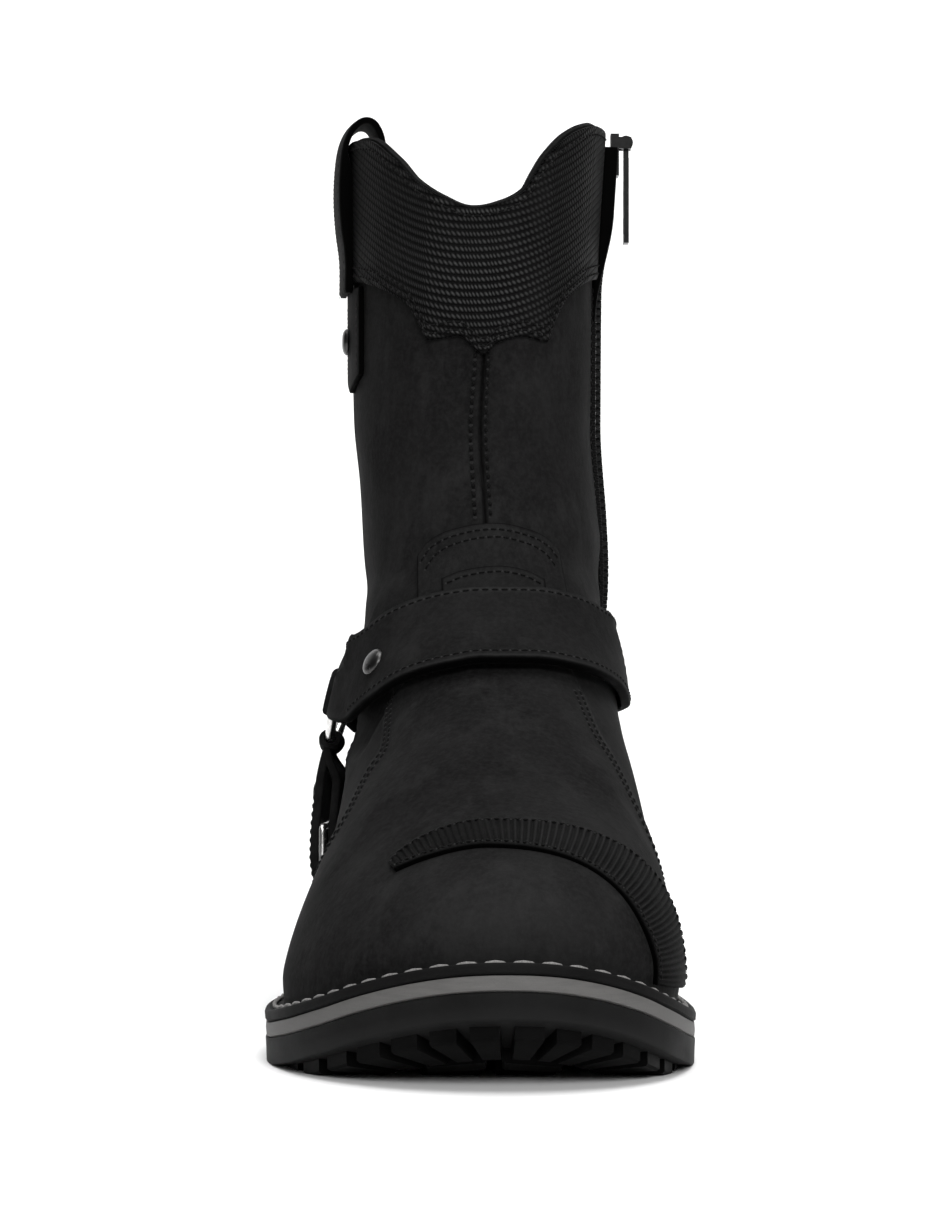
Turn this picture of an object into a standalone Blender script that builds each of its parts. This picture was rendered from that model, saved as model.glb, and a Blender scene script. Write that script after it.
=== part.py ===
"""A black leather harness boot for the right foot: pull-on shaft with an inner zip, toe at -Y.

Inside this file lengths are millimetres. "along" runs from the heel (0) to the toe (about 306),
"turn" is the angle round the shaft in degrees: 0 in front, 90 on the inner side, -90 on the outer side.
"""

import math
from collections import namedtuple

import bmesh
import bpy
import numpy as np
from mathutils import Matrix, Vector

MM = 0.001

# Driving sizes of the boot
ALONG_OF_ORIGIN = 153.85
X_OF_ORIGIN = -0.33
FEATHER_HEIGHT = 19.3
LUG_DEPTH = 3.8
OUTSOLE_TOP = 11.3
MIDSOLE_TOP = 15.6
WELT_TOP = 19.0
SEAT_GAP = 0.3
SOLE_MARGIN = 6.2
WALL = 2.4
FEATHER_TUCK = 1.4
TUCK_TALL = 10.0
TUCK_FADES = 20.0
TOE_END = 300.0
TOE_ROUND = 80.0
TOE_POWER = 2.2
HEEL_ROUND = 36.0
HEEL_POWER = 2.3
SHAFT_POWER = 2.3
SHAFT_STARTS = 84.0
SHAFT_RULES = 150.0
SKIN_GAP = 0.5

# The last, a row for each section of the foot
Station = namedtuple("Station", "along centre half inner_power outer_power rise")
FOOT = [
    Station(0, -1.0, 33.0, 3.0, 2.8, 21.0),
    Station(45, -1.0, 33.5, 3.0, 2.8, 20.5),
    Station(80, -0.6, 34.5, 3.0, 2.6, 19.2),
    Station(110, 0.2, 38.5, 3.2, 2.5, 15.0),
    Station(140, 0.8, 43.5, 3.2, 2.3, 7.5),
    Station(165, 0.8, 48.0, 2.9, 2.0, 2.6),
    Station(190, 0.0, 51.7, 2.6, 1.8, 0.0),
    Station(215, -0.5, 54.0, 2.5, 1.7, 0.0),
    Station(232, -0.1, 54.4, 2.6, 1.7, 0.0),
    Station(255, 1.4, 54.2, 2.6, 1.7, 2.6),
    Station(275, 3.6, 54.0, 2.4, 1.8, 7.2),
    Station(290, 5.4, 54.0, 2.2, 1.9, 12.5),
    Station(307, 7.5, 54.0, 2.0, 2.0, 19.6),
]

# Profile seen from the side, a row for each level: heights are over the feather line at that end
Level = namedtuple("Level", "back_along back_up front_along front_up follow")
PROFILE = [
    Level(9.0, 0.0, 300.0, 0.0, 1.0),
    Level(6.8, 6.0, 299.8, 6.0, 0.92),
    Level(5.3, 13.0, 298.0, 13.5, 0.84),
    Level(4.8, 20.0, 293.0, 21.3, 0.72),
    Level(5.2, 27.0, 283.0, 31.3, 0.58),
    Level(6.2, 34.5, 266.0, 43.5, 0.44),
    Level(7.6, 42.5, 244.0, 56.1, 0.32),
    Level(9.2, 51.0, 222.0, 67.2, 0.2),
    Level(10.6, 61.0, 200.0, 77.7, 0.1),
    Level(11.5, 72.0, 180.0, 87.6, 0.05),
    Level(11.6, 84.0, 163.0, 95.8, 0.0),
    Level(10.8, 97.0, 150.0, 105.5, 0.0),
    Level(9.4, 111.0, 141.5, 117.1, 0.0),
    Level(7.8, 126.0, 136.0, 130.7, 0.0),
    Level(6.2, 144.0, 132.5, 148.3, 0.0),
    Level(4.8, 165.0, 130.5, 169.8, 0.0),
    Level(3.8, 187.0, 129.0, 192.4, 0.0),
    Level(2.6, 236.0, 128.5, 246.4, 0.0),
]
COLLAR_STARTS = len(PROFILE) - 2
COLLAR_STEPS = 3

# The shaft, a row for each height
Ring = namedtuple("Ring", "height centre half")
SHAFT = [
    Ring(60, -1.0, 37.0),
    Ring(95, 0.3, 37.2),
    Ring(127, 1.3, 36.4),
    Ring(155, 0.0, 36.6),
    Ring(186, -2.2, 37.0),
    Ring(226, -2.1, 37.3),
    Ring(280, -0.8, 38.9),
]

# Height of the collar's edge round the shaft
Rim = namedtuple("Rim", "turn height")
COLLAR = [
    Rim(-180, 250.0),
    Rim(-140, 256.0),
    Rim(-100, 268.0),
    Rim(-72, 272.0),
    Rim(-50, 270.6),
    Rim(-33, 263.8),
    Rim(-21, 255.9),
    Rim(-10, 251.0),
    Rim(0, 248.0),
    Rim(9, 249.7),
    Rim(18, 253.4),
    Rim(22, 258.2),
    Rim(28, 264.4),
    Rim(40, 271.6),
    Rim(50, 274.5),
    Rim(62, 276.2),
    Rim(80, 276.5),
    Rim(90, 275.0),
    Rim(110, 269.0),
    Rim(140, 257.0),
    Rim(180, 250.0),
]

# Lower edge of the collar panel, and the bands that wrap the ankle
PANEL_EDGE = [
    Rim(-261, 229.0),
    Rim(-90, 229.0),
    Rim(-62, 228.0),
    Rim(-38, 224.0),
    Rim(-26, 219.5),
    Rim(-20, 213.0),
    Rim(-16, 208.0),
    Rim(-4, 209.2),
    Rim(3, 203.6),
    Rim(8, 207.2),
    Rim(18, 209.3),
    Rim(30, 208.0),
    Rim(34, 214.0),
    Rim(42, 222.0),
    Rim(60, 228.0),
    Rim(81, 230.5),
]
Wrap = namedtuple("Wrap", "turn low high lift")
INSTEP_STRAP = [
    Wrap(-66, 95.5, 117.0, 2.3),
    Wrap(-50, 100.5, 120.5, 3.4),
    Wrap(-30, 105.3, 126.3, 4.8),
    Wrap(-12, 107.8, 129.8, 5.1),
    Wrap(0, 109.0, 131.0, 5.1),
    Wrap(12, 109.0, 131.0, 5.1),
    Wrap(30, 107.5, 129.2, 4.8),
    Wrap(50, 105.0, 126.0, 3.2),
    Wrap(75, 98.5, 123.0, 2.2),
    Wrap(84, 97.0, 121.0, 2.0),
]
HEEL_STRAP = [
    Wrap(-104, 90.0, 111.0, 2.4),
    Wrap(-130, 91.0, 113.0, 2.0),
    Wrap(-180, 92.0, 114.0, 2.0),
    Wrap(-225, 94.0, 116.0, 2.0),
    Wrap(-248, 95.0, 117.0, 2.0),
]
INSTEP_PATCH = [
    Wrap(-25, 122.0, 143.0, 0.8),
    Wrap(-20, 119.0, 147.5, 0.8),
    Wrap(-10, 117.0, 151.0, 0.8),
    Wrap(4, 116.0, 153.0, 0.8),
    Wrap(18, 117.0, 151.0, 0.8),
    Wrap(27, 119.0, 147.8, 0.8),
    Wrap(31, 122.0, 144.0, 0.8),
]
INSTEP_TAB = [
    Wrap(-14, 118.0, 135.6, 2.4),
    Wrap(-6, 116.5, 138.0, 2.4),
    Wrap(4, 115.5, 139.3, 2.4),
    Wrap(13, 116.5, 138.0, 2.4),
    Wrap(20, 118.0, 135.3, 2.4),
]
PATCH_THICK = 1.2
TAB_THICK = 0.8
SoleStrap = namedtuple("SoleStrap", "height back front lift inner_lift")
SOLE_STRAP = [
    SoleStrap(75.0, 97.0, 118.0, 9.4, 4.2),
    SoleStrap(64.0, 101.5, 124.0, 9.4, 4.2),
    SoleStrap(54.0, 106.0, 129.0, 8.8, 3.6),
    SoleStrap(46.0, 110.5, 133.5, 6.8, 2.6),
    SoleStrap(39.0, 114.0, 137.0, 4.6, 1.9),
    SoleStrap(34.0, 117.0, 140.0, 3.3, 1.6),
]

# Shift pad over the toes: angle over the vamp from the outer feather line, and its two edges
Pad = namedtuple("Pad", "over back front")
SHIFT_PAD = [
    Pad(54, 262.0, 267.5),
    Pad(58, 259.0, 269.0),
    Pad(70, 258.0, 272.0),
    Pad(90, 258.5, 274.0),
    Pad(115, 256.5, 275.5),
    Pad(135, 252.0, 276.5),
    Pad(152, 246.0, 277.0),
    Pad(166, 240.0, 276.0),
    Pad(177, 236.5, 274.5),
]
PAD_THICK = 1.6

# Harness hardware
STRAP_THICK = 3.0
SOLE_STRAP_THICK = 2.2
RING_RADIUS = 13.5
RING_WIRE = 1.5
RING_TURN = -88.0
RING_HEIGHT = 100.0
RING_LIFT = 4.9
RING_TILT = 11.0
INSTEP_STRAP_AT = 11.0
HEEL_STRAP_AT = 178.0
SOLE_STRAP_AT = -84.0
LOOP_BORE = 1.8
LOOP_OUTSIDE = 3.4
LOOP_SPAN = 54.0
KEEPER_WIRE = 1.1
Corner = namedtuple("Corner", "along height")
KEEPER_CORNERS = [
    Corner(100.0, 63.0),
    Corner(113.0, 63.0),
    Corner(126.2, 63.0),
    Corner(131.6, 51.0),
    Corner(119.0, 51.0),
    Corner(106.0, 51.0),
]
RIVET_RADIUS = 4.0
RIVET_HEIGHT = 1.7
RIVET_CLEAR = 0.6
FRONT_RIVET_TURN = -45.0
FRONT_RIVET_HIGH = 110.0
SIDE_RIVET_TURN = -115.0
SIDE_RIVET_HIGH = 101.0
SOLE_RIVET_ALONG = 109.0
SOLE_RIVET_HIGH = 72.0
PULL_RIVET_HIGH = 210.5

# Zip and pull strap
ZIP_FOOT = 102.0
ZIP_FOOT_ALONG = 79.0
ZIP_TOP_ALONG = 65.0
TAPE_HALF = 7.0
TEETH_HALF = 2.6
TAPE_THICK = 0.8
TEETH_THICK = 1.6
TAPE_TOP = 272.0
ZIP_STANDS = 1.6
ZIP_STANDS_FROM = 226.0
ZIP_STANDS_OVER = 20.0
SLIDER_TOP = 276.5
SLIDER_TALL = 13.0
SLIDER_DEEP = 2.6
SLIDER_HALF = 5.0
SLIDER_CLEAR = 0.4
TEETH_CLEAR = 0.5
EAR_IN = 2.6
EAR_OUT = 4.0
EAR_BELOW = 2.0
EAR_ABOVE = 1.6
EAR_SUNK = 0.5
PIN_HEIGHT = 274.0
PIN_RADIUS = 0.8
PIN_SHORT = 0.5
PULL_LENGTH = 31.5
PULL_WIDE = 8.0
PULL_THICK = 1.6
PULL_SHOULDER = 5.0
NECK_SUNK = 1.0
NECK_HALF = 2.0
EYE_RADIUS = 2.2
EYE_CLEAR = 0.1
EYE_LONG = 4.2
EYE_PLAY = 0.3
SLOT_HALF = 1.8
SLOT_LOW = 3.0
SLOT_HIGH = 8.0
PULL_STRAP_WIDE = 24.0
PULL_STRAP_THICK = 2.0
PULL_STRAP_TURN = -76.0
PULL_STRAP_LEAVES = 266.0
PULL_TAB_THICK = 1.4
PULL_TAB_TURN = -73.0
PULL_TAB_HALF_TURN = 15.0
PULL_TAB_LOW = 194.5
PULL_TAB_SIDES_RISE = 5.0
PULL_TAB_HIGH = 226.4

Tone = namedtuple("Tone", "colour roughness metallic")
LEATHER = Tone((0.012, 0.012, 0.012), 0.75, 0.0)
EMBOSSED = Tone((0.014, 0.014, 0.015), 0.6, 0.0)
RUBBER = Tone((0.012, 0.012, 0.013), 0.65, 0.0)
GREY_FOAM = Tone((0.16, 0.155, 0.14), 0.7, 0.0)
FOOTBED = Tone((0.03, 0.03, 0.03), 0.9, 0.0)
STEEL = Tone((0.6, 0.6, 0.6), 0.3, 1.0)
DARK_METAL = Tone((0.03, 0.03, 0.03), 0.4, 0.8)
TAPE = Tone((0.01, 0.01, 0.01), 0.9, 0.0)


def curve_of(rows, key, column):
    """A smooth curve through one column of a table, with no overshoot between its rows."""
    at = np.array([getattr(row, key) for row in rows], float)
    value = np.array([getattr(row, column) for row in rows], float)
    order = np.argsort(at)
    return monotone(at[order], value[order])


def monotone(at, value):
    """A smooth curve through points that never overshoots them."""
    step = np.diff(at)
    slope = np.diff(value) / step
    tangent = np.zeros(len(at))
    tangent[0] = slope[0]
    tangent[-1] = slope[-1]
    for i in range(1, len(at) - 1):
        if slope[i - 1] * slope[i] > 0:
            tangent[i] = 2 * slope[i - 1] * slope[i] / (slope[i - 1] + slope[i])

    def curve(x):
        x = min(max(x, at[0]), at[-1])
        i = min(int(np.searchsorted(at, x, side="right")) - 1, len(step) - 1)
        t = (x - at[i]) / step[i]
        start = value[i] * (1 + 2 * t) + tangent[i] * step[i] * t
        end = value[i + 1] * (3 - 2 * t) - tangent[i + 1] * step[i] * (1 - t)
        return start * (1 - t) ** 2 + end * t * t

    return curve


foot_centre = curve_of(FOOT, "along", "centre")
foot_half = curve_of(FOOT, "along", "half")
sole_rise = curve_of(FOOT, "along", "rise")
foot_power = {1: curve_of(FOOT, "along", "inner_power"), -1: curve_of(FOOT, "along", "outer_power")}
shaft_centre = curve_of(SHAFT, "height", "centre")
shaft_half = curve_of(SHAFT, "height", "half")
collar_height = curve_of(COLLAR, "turn", "height")
ridge_up = curve_of(PROFILE, "front_along", "front_up")


def feather(along):
    """Height of the line where the upper meets the welt."""
    return FEATHER_HEIGHT + sole_rise(along)


back_heights = np.array([feather(row.back_along) + row.back_up for row in PROFILE])
front_heights = np.array([feather(row.front_along) + row.front_up for row in PROFILE])
back_along = monotone(back_heights, np.array([row.back_along for row in PROFILE]))
front_along = monotone(front_heights, np.array([row.front_along for row in PROFILE]))


def smoothstep(x):
    x = min(max(x, 0.0), 1.0)
    return x * x * (3 - 2 * x)


def rounded(x, power):
    """A superellipse quadrant: 1 at x = 0, falling to 0 at x = 1."""
    x = min(max(x, 0.0), 1.0)
    return (1 - x**power) ** (1 / power)


def half_width(along, height, side):
    """Distance from the boot's middle line to its outer face, on the inner (1) or outer (-1) side."""
    low = feather(along)
    up = min(max((height - low) / max(ridge_up(along), 1.0), 0.0), 1.0)
    back = back_along(height)
    front = front_along(height)
    plan = foot_half(along) * rounded((along - TOE_END + TOE_ROUND) / TOE_ROUND, TOE_POWER)
    plan *= rounded(1 - (along - back) / HEEL_ROUND, HEEL_POWER)
    tuck = FEATHER_TUCK * (1 - smoothstep((height - low) / TUCK_TALL)) * min(1.0, plan / TUCK_FADES)
    foot = plan * rounded(up, foot_power[side](along)) - tuck
    reach = abs(2 * along - back - front) / max(front - back, 1.0)
    shaft = shaft_half(height) * rounded(reach, SHAFT_POWER)
    share = smoothstep((height - SHAFT_STARTS) / (SHAFT_RULES - SHAFT_STARTS))
    return (1 - share) * foot + share * shaft


def middle(along, height):
    """The boot's middle line, which swings inwards to the toe."""
    share = smoothstep((height - SHAFT_STARTS) / (SHAFT_RULES - SHAFT_STARTS))
    return (1 - share) * foot_centre(along) + share * shaft_centre(height)


def side_point(along, height, side):
    """A point of the upper's outer face as (x, along, height)."""
    return np.array([middle(along, height) + side * half_width(along, height, side), along, height])


def wrap_point(turn, height):
    """A point of the outer face at this angle round the boot."""
    turn = (turn + 180) % 360 - 180
    back = back_along(height)
    front = front_along(height)
    along = (back + front) / 2 + (front - back) / 2 * math.cos(math.radians(turn))
    return side_point(along, height, 1 if turn >= 0 else -1)


def vamp_point(along, over):
    """A point of the outer face at this angle over the foot: 0 outer feather, 90 ridge, 180 inner feather."""
    side = -1 if over < 90 else 1
    lift = math.sin(math.radians(over)) ** (2 / foot_power[side](along))
    return side_point(along, feather(along) + ridge_up(along) * lift, side)


def outward(surface, first, second, lift):
    """A point lifted off a surface function along its normal."""
    step = 0.4
    one = surface(first + step, second) - surface(first - step, second)
    two = surface(first, second + step) - surface(first, second - step)
    normal = np.cross(two, one)
    return surface(first, second) + lift * normal / np.linalg.norm(normal)


def to_world(point):
    """Metres in the part's frame from (x, along, height) in millimetres."""
    return Vector(((point[0] - X_OF_ORIGIN) * MM, (ALONG_OF_ORIGIN - point[1]) * MM, point[2] * MM))


def clear_scene():
    for obj in list(bpy.data.objects):
        bpy.data.objects.remove(obj, do_unlink=True)


def collection(name):
    made = bpy.data.collections.new(name)
    bpy.context.scene.collection.children.link(made)
    return made


clear_scene()
BOOT = collection("harness_boot")
CUTTERS = collection("cutters")


def coat(obj, tone):
    material = bpy.data.materials.new(obj.name)
    material.use_nodes = True
    shader = material.node_tree.nodes["Principled BSDF"]
    shader.inputs["Base Color"].default_value = (*tone.colour, 1)
    shader.inputs["Roughness"].default_value = tone.roughness
    shader.inputs["Metallic"].default_value = tone.metallic
    obj.data.materials.clear()
    obj.data.materials.append(material)
    if obj.type == "MESH":
        obj.data.shade_smooth()
        obj.data.set_sharp_from_angle(angle=math.radians(40))
    return obj


def add(name, mesh, tone, home=None):
    obj = bpy.data.objects.new(name, mesh)
    (home or BOOT).objects.link(obj)
    return coat(obj, tone)


def mesh_of(name, points, faces):
    mesh = bpy.data.meshes.new(name)
    mesh.from_pydata([to_world(point) for point in points], [], faces)
    shape = bmesh.new()
    shape.from_mesh(mesh)
    bmesh.ops.recalc_face_normals(shape, faces=shape.faces)
    shape.to_mesh(mesh)
    shape.free()
    return mesh


def grid_faces(rows, columns, closed):
    """Quads between neighbouring rows of points; closed joins the last column to the first."""
    faces = []
    for i in range(rows - 1):
        for j in range(columns if closed else columns - 1):
            k = (j + 1) % columns
            faces.append((i * columns + j, i * columns + k, (i + 1) * columns + k, (i + 1) * columns + j))
    return faces


def sheet(name, rows, tone, thick, centred=False):
    """A band of leather: an open grid of points, given its thickness outwards by Solidify."""
    count = len(rows[0])
    points = [point for row in rows for point in row]
    mesh = bpy.data.meshes.new(name)
    mesh.from_pydata([to_world(point) for point in points], [], grid_faces(len(rows), count, False))
    obj = add(name, mesh, tone)
    shell = obj.modifiers.new("thickness", "SOLIDIFY")
    shell.thickness = thick * MM
    shell.offset = 0.0 if centred else outward_sign(mesh)
    shell.use_even_offset = True
    return obj


def outward_sign(mesh):
    """Whether the faces of a sheet already look away from the boot's middle."""
    look = 0.0
    for face in mesh.polygons:
        along = ALONG_OF_ORIGIN - face.center.y / MM
        height = face.center.z / MM
        x = face.center.x / MM - middle(along, height)
        axis = (back_along(height) + front_along(height)) / 2
        look += face.normal.x * x - face.normal.y * (along - axis) + face.normal.z * 20
    return 1.0 if look > 0 else -1.0


def boolean(target, other, operation):
    cut = target.modifiers.new(other.name, "BOOLEAN")
    cut.operation = operation
    cut.solver = "EXACT"
    cut.use_self = True
    cut.object = other


def helper(obj):
    """Moves a piece that is only cut or joined into the cutters' collection."""
    for home in obj.users_collection:
        home.objects.unlink(obj)
    CUTTERS.objects.link(obj)
    obj.hide_render = True
    obj.display_type = "WIRE"
    return obj


def spaced(start, end, count):
    return [start + (end - start) * i / (count - 1) for i in range(count)]


# Sole

OUTLINE_POINTS = 56


def feather_loop(margin):
    """Plan points (x, along) round the feather line, moved out by a margin."""
    points = []
    for j in range(OUTLINE_POINTS):
        turn = -180 + 360 * j / OUTLINE_POINTS
        side = 1 if turn >= 0 else -1
        back = PROFILE[0].back_along
        along = (back + TOE_END) / 2 + (TOE_END - back) / 2 * math.cos(math.radians(turn))
        points.append(side_point(along, feather(along), side)[:2])
    points = np.array(points)
    ahead = np.roll(points, -1, axis=0) - np.roll(points, 1, axis=0)
    normal = np.stack([ahead[:, 1], -ahead[:, 0]], axis=1)
    normal /= np.linalg.norm(normal, axis=1)[:, None]
    outwards = np.sign((normal * (points - points.mean(axis=0))).sum())
    return points + outwards * margin * normal


def cap_faces(start, count):
    """Quads across a loop, joining each point to the one opposite; the loop starts at the heel."""
    faces = []
    for j in range(1, count // 2 + 1):
        faces.append((start + j - 1, start + j, start + count - j, start + (count - j + 1) % count))
    return [tuple(dict.fromkeys(face)) for face in faces]


def plate(name, low_margin, high_margin, low, high, tone):
    """A layer of the sole between two heights that follow the foot."""
    points = []
    for margin, height in ((low_margin, low), (high_margin, high)):
        points += [(x, along, height + sole_rise(along)) for x, along in feather_loop(margin)]
    faces = grid_faces(2, OUTLINE_POINTS, True)
    faces += cap_faces(0, OUTLINE_POINTS) + cap_faces(OUTLINE_POINTS, OUTLINE_POINTS)
    return add(name, mesh_of(name, points, faces), tone)


def weld(mesh):
    """Joins points that fall together, where a loop of rows closes on itself."""
    shape = bmesh.new()
    shape.from_mesh(mesh)
    bmesh.ops.remove_doubles(shape, verts=shape.verts, dist=0.00001)
    bmesh.ops.recalc_face_normals(shape, faces=shape.faces)
    shape.to_mesh(mesh)
    shape.free()
    return mesh


WELT_BEVEL = 0.9
WELT_INSIDE = 9.0


def make_welt():
    """A strip all round the foot, with a bevelled outer edge."""
    loops = (
        (SOLE_MARGIN, MIDSOLE_TOP + SEAT_GAP),
        (SOLE_MARGIN, WELT_TOP - WELT_BEVEL),
        (SOLE_MARGIN - WELT_BEVEL, WELT_TOP),
        (-WELT_INSIDE, WELT_TOP),
        (-WELT_INSIDE, MIDSOLE_TOP + SEAT_GAP),
    )
    points = []
    for margin, height in loops:
        points += [(x, along, height + sole_rise(along)) for x, along in feather_loop(margin)]
    points += points[:OUTLINE_POINTS]
    add("welt", weld(mesh_of("welt", points, grid_faces(len(loops) + 1, OUTLINE_POINTS, True))), RUBBER)


OUTSOLE_DRAFT = 1.2
LUGS_START = 158.0
RIM_LUG_MARGIN = 1.8
RIM_LUG_DEEP = 17.0
RIM_LUGS = 11
RIM_LUG_FILL = 0.68
CENTRE_LUG_ROWS = (176.0, 192.5, 209.0, 225.5, 242.0, 258.5, 273.0)
CENTRE_LUG_LONG = 10.0
CENTRE_LUG_HALF = 18.0
CENTRE_LUG_SWEEP = 5.0
CENTRE_LUG_CLEAR = 20.0
CENTRE_GROOVE_HALF = 2.0
LUG_ROOT = 1.5


def lug(corners):
    """A tread block from its four plan corners, down to the tread and up into the outsole."""
    points = [(x, along, sole_rise(along)) for x, along in corners]
    points += [(x, along, sole_rise(along) + LUG_DEPTH + LUG_ROOT) for x, along in corners]
    faces = [(0, 1, 2, 3), (7, 6, 5, 4)]
    faces += [(j, j + 4, (j + 1) % 4 + 4, (j + 1) % 4) for j in range(4)]
    return points, faces


def rim_lugs():
    """Blocks along both edges of the forepart and round the toe."""
    outer = feather_loop(RIM_LUG_MARGIN)
    inner = feather_loop(RIM_LUG_MARGIN - RIM_LUG_DEEP)
    front = [j for j in range(OUTLINE_POINTS) if outer[j][1] > LUGS_START]
    place = np.arange(len(front))
    lugs = []
    for k in range(RIM_LUGS * 2):
        start = (len(front) - 1) * (k + 0.5 - RIM_LUG_FILL / 2) / (RIM_LUGS * 2)
        end = (len(front) - 1) * (k + 0.5 + RIM_LUG_FILL / 2) / (RIM_LUGS * 2)
        corners = []
        for loop, at in ((outer, start), (outer, end), (inner, end), (inner, start)):
            corners.append([np.interp(at, place, loop[front, axis]) for axis in (0, 1)])
        lugs.append(lug(corners))
    return lugs


def centre_lugs():
    """Swept blocks down the middle of the forepart, in left and right halves."""
    lugs = []
    for along in CENTRE_LUG_ROWS:
        toe = rounded((along - TOE_END + TOE_ROUND) / TOE_ROUND, TOE_POWER)
        half = min(CENTRE_LUG_HALF, foot_half(along) * toe - CENTRE_LUG_CLEAR)
        for side in (-1, 1):
            near = foot_centre(along) + side * CENTRE_GROOVE_HALF
            far = foot_centre(along) + side * half
            back = [(near, along), (far, along - CENTRE_LUG_SWEEP)]
            lugs.append(lug(back + [(x, start + CENTRE_LUG_LONG) for x, start in reversed(back)]))
    return lugs


def make_outsole():
    outsole = plate("outsole", SOLE_MARGIN - OUTSOLE_DRAFT, SOLE_MARGIN, LUG_DEPTH, OUTSOLE_TOP, RUBBER)
    points = []
    faces = []
    for corners, sides in rim_lugs() + centre_lugs():
        faces += [tuple(index + len(points) for index in side) for side in sides]
        points += corners
    lugs = add("tread_blocks", mesh_of("tread_blocks", points, faces), RUBBER)
    boolean(outsole, helper(lugs), "UNION")


HEEL_BREAST = 74.0
HEEL_MIDDLE = 40.0
HEEL_INSET = 1.0
HEEL_TAPER = 0.075
BREAST_HOLLOW = 3.0
BREAST_SHARES = (1.0, 0.5, 0.0, -0.5, -1.0)
HEEL_LAYERS = ((0.0, 1.0), (0.35, 0.5), (1.0, 0.0))
HEEL_GROOVES = (22.0, 40.0, 57.0)
HEEL_GROOVE_WIDE = 4.0
HEEL_GROOVE_DEEP = 3.0
HEEL_GROOVE_LONG = 120.0


def make_heel():
    """The heel block, tapering down, with cross grooves in its tread."""
    loop = feather_loop(SOLE_MARGIN - HEEL_INSET)
    back = [point for point in loop if point[1] < HEEL_BREAST - BREAST_HOLLOW]
    centre_x = foot_centre(HEEL_MIDDLE)
    order = sorted(back, key=lambda point: math.atan2(point[0] - centre_x, HEEL_BREAST - point[1]))
    half = foot_half(HEEL_BREAST) + SOLE_MARGIN - HEEL_INSET - FEATHER_TUCK
    breast_x = foot_centre(HEEL_BREAST)
    breast = []
    for share in BREAST_SHARES:
        breast.append((breast_x + half * share, HEEL_BREAST - BREAST_HOLLOW * (1 - share**2)))
    outline = np.array(list(order) + breast)
    centre = outline.mean(axis=0)
    points = []
    for share, taper in HEEL_LAYERS:
        for x, along in outline:
            pull = 1 - taper * HEEL_TAPER
            top = sole_rise(along) + LUG_DEPTH - SEAT_GAP
            points.append((*(centre + pull * (np.array([x, along]) - centre)), share * top))
    count = len(outline)
    faces = grid_faces(len(HEEL_LAYERS), count, True)
    faces += [tuple(range(count)), tuple(range(2 * count, 3 * count))]
    heel = add("heel", mesh_of("heel", points, faces), RUBBER)
    for number, along in enumerate(HEEL_GROOVES):
        bpy.ops.mesh.primitive_cube_add(size=1, location=to_world((0, along, 0)))
        groove = bpy.context.object
        groove.name = f"heel_groove_{number}"
        groove.scale = (HEEL_GROOVE_LONG * MM, HEEL_GROOVE_WIDE * MM, 2 * HEEL_GROOVE_DEEP * MM)
        boolean(heel, helper(groove), "DIFFERENCE")


INSOLE_INSET = 5.2
INSOLE_TAPER = 2.2
INSOLE_THICK = 4.0


def make_insole():
    """The footbed, tapering up so that it clears the wall."""
    inset = -INSOLE_INSET
    plate("insole", inset, inset - INSOLE_TAPER, FEATHER_HEIGHT, FEATHER_HEIGHT + INSOLE_THICK, FOOTBED)


# Upper

UPPER_COLUMNS = 48


def level_point(level, turn):
    """A point of the outer face on a level that follows the sole below and the collar above."""
    row = PROFILE[level]
    along = (row.back_along + row.front_along) / 2
    along += (row.front_along - row.back_along) / 2 * math.cos(math.radians(turn))
    share = (along - row.back_along) / (row.front_along - row.back_along)
    ends = (feather(row.back_along), feather(row.front_along))
    straight = (ends[0] + row.back_up) * (1 - share) + (ends[1] + row.front_up) * share
    sole = feather(along) - ends[0] * (1 - share) - ends[1] * share
    return side_point(along, straight + row.follow * sole, 1 if turn >= 0 else -1)


def make_upper():
    """The leather shell: levels of points from the feather line to the collar, with a real wall."""
    turns = [-180 + 360 * j / UPPER_COLUMNS for j in range(UPPER_COLUMNS)]
    points = []
    for level in range(COLLAR_STARTS + 1):
        points += [level_point(level, turn) for turn in turns]
    top = points[-UPPER_COLUMNS:]
    for step in range(1, COLLAR_STEPS + 1):
        for turn, below in zip(turns, top):
            height = below[2] + (collar_height(turn) - below[2]) * step / COLLAR_STEPS
            points.append(wrap_point(turn, height))
    rows = COLLAR_STARTS + 1 + COLLAR_STEPS
    mesh = mesh_of("upper", points, grid_faces(rows, UPPER_COLUMNS, True))
    upper = add("upper", mesh, LEATHER)
    shell = upper.modifiers.new("wall", "SOLIDIFY")
    shell.thickness = WALL * MM
    shell.offset = -outward_sign(mesh)
    shell.use_even_offset = True


# Leather laid on the upper


def wrap_rows(rows, across, turns):
    """Rows of points on a band round the shaft."""
    low = curve_of(rows, "turn", "low")
    high = curve_of(rows, "turn", "high")
    lift = curve_of(rows, "turn", "lift")
    return [
        [outward(wrap_point, turn, height, lift(turn)) for height in spaced(low(turn), high(turn), across)]
        for turn in turns
    ]


def column_turns(rows):
    """Angles of the upper's own columns between the ends of a table, with both ends."""
    first = min(row.turn for row in rows)
    last = max(row.turn for row in rows)
    pitch = 360 / UPPER_COLUMNS
    inside = [pitch * k for k in range(-UPPER_COLUMNS, UPPER_COLUMNS) if first + 2 < pitch * k < last - 2]
    return [first] + inside + [last]


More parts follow.
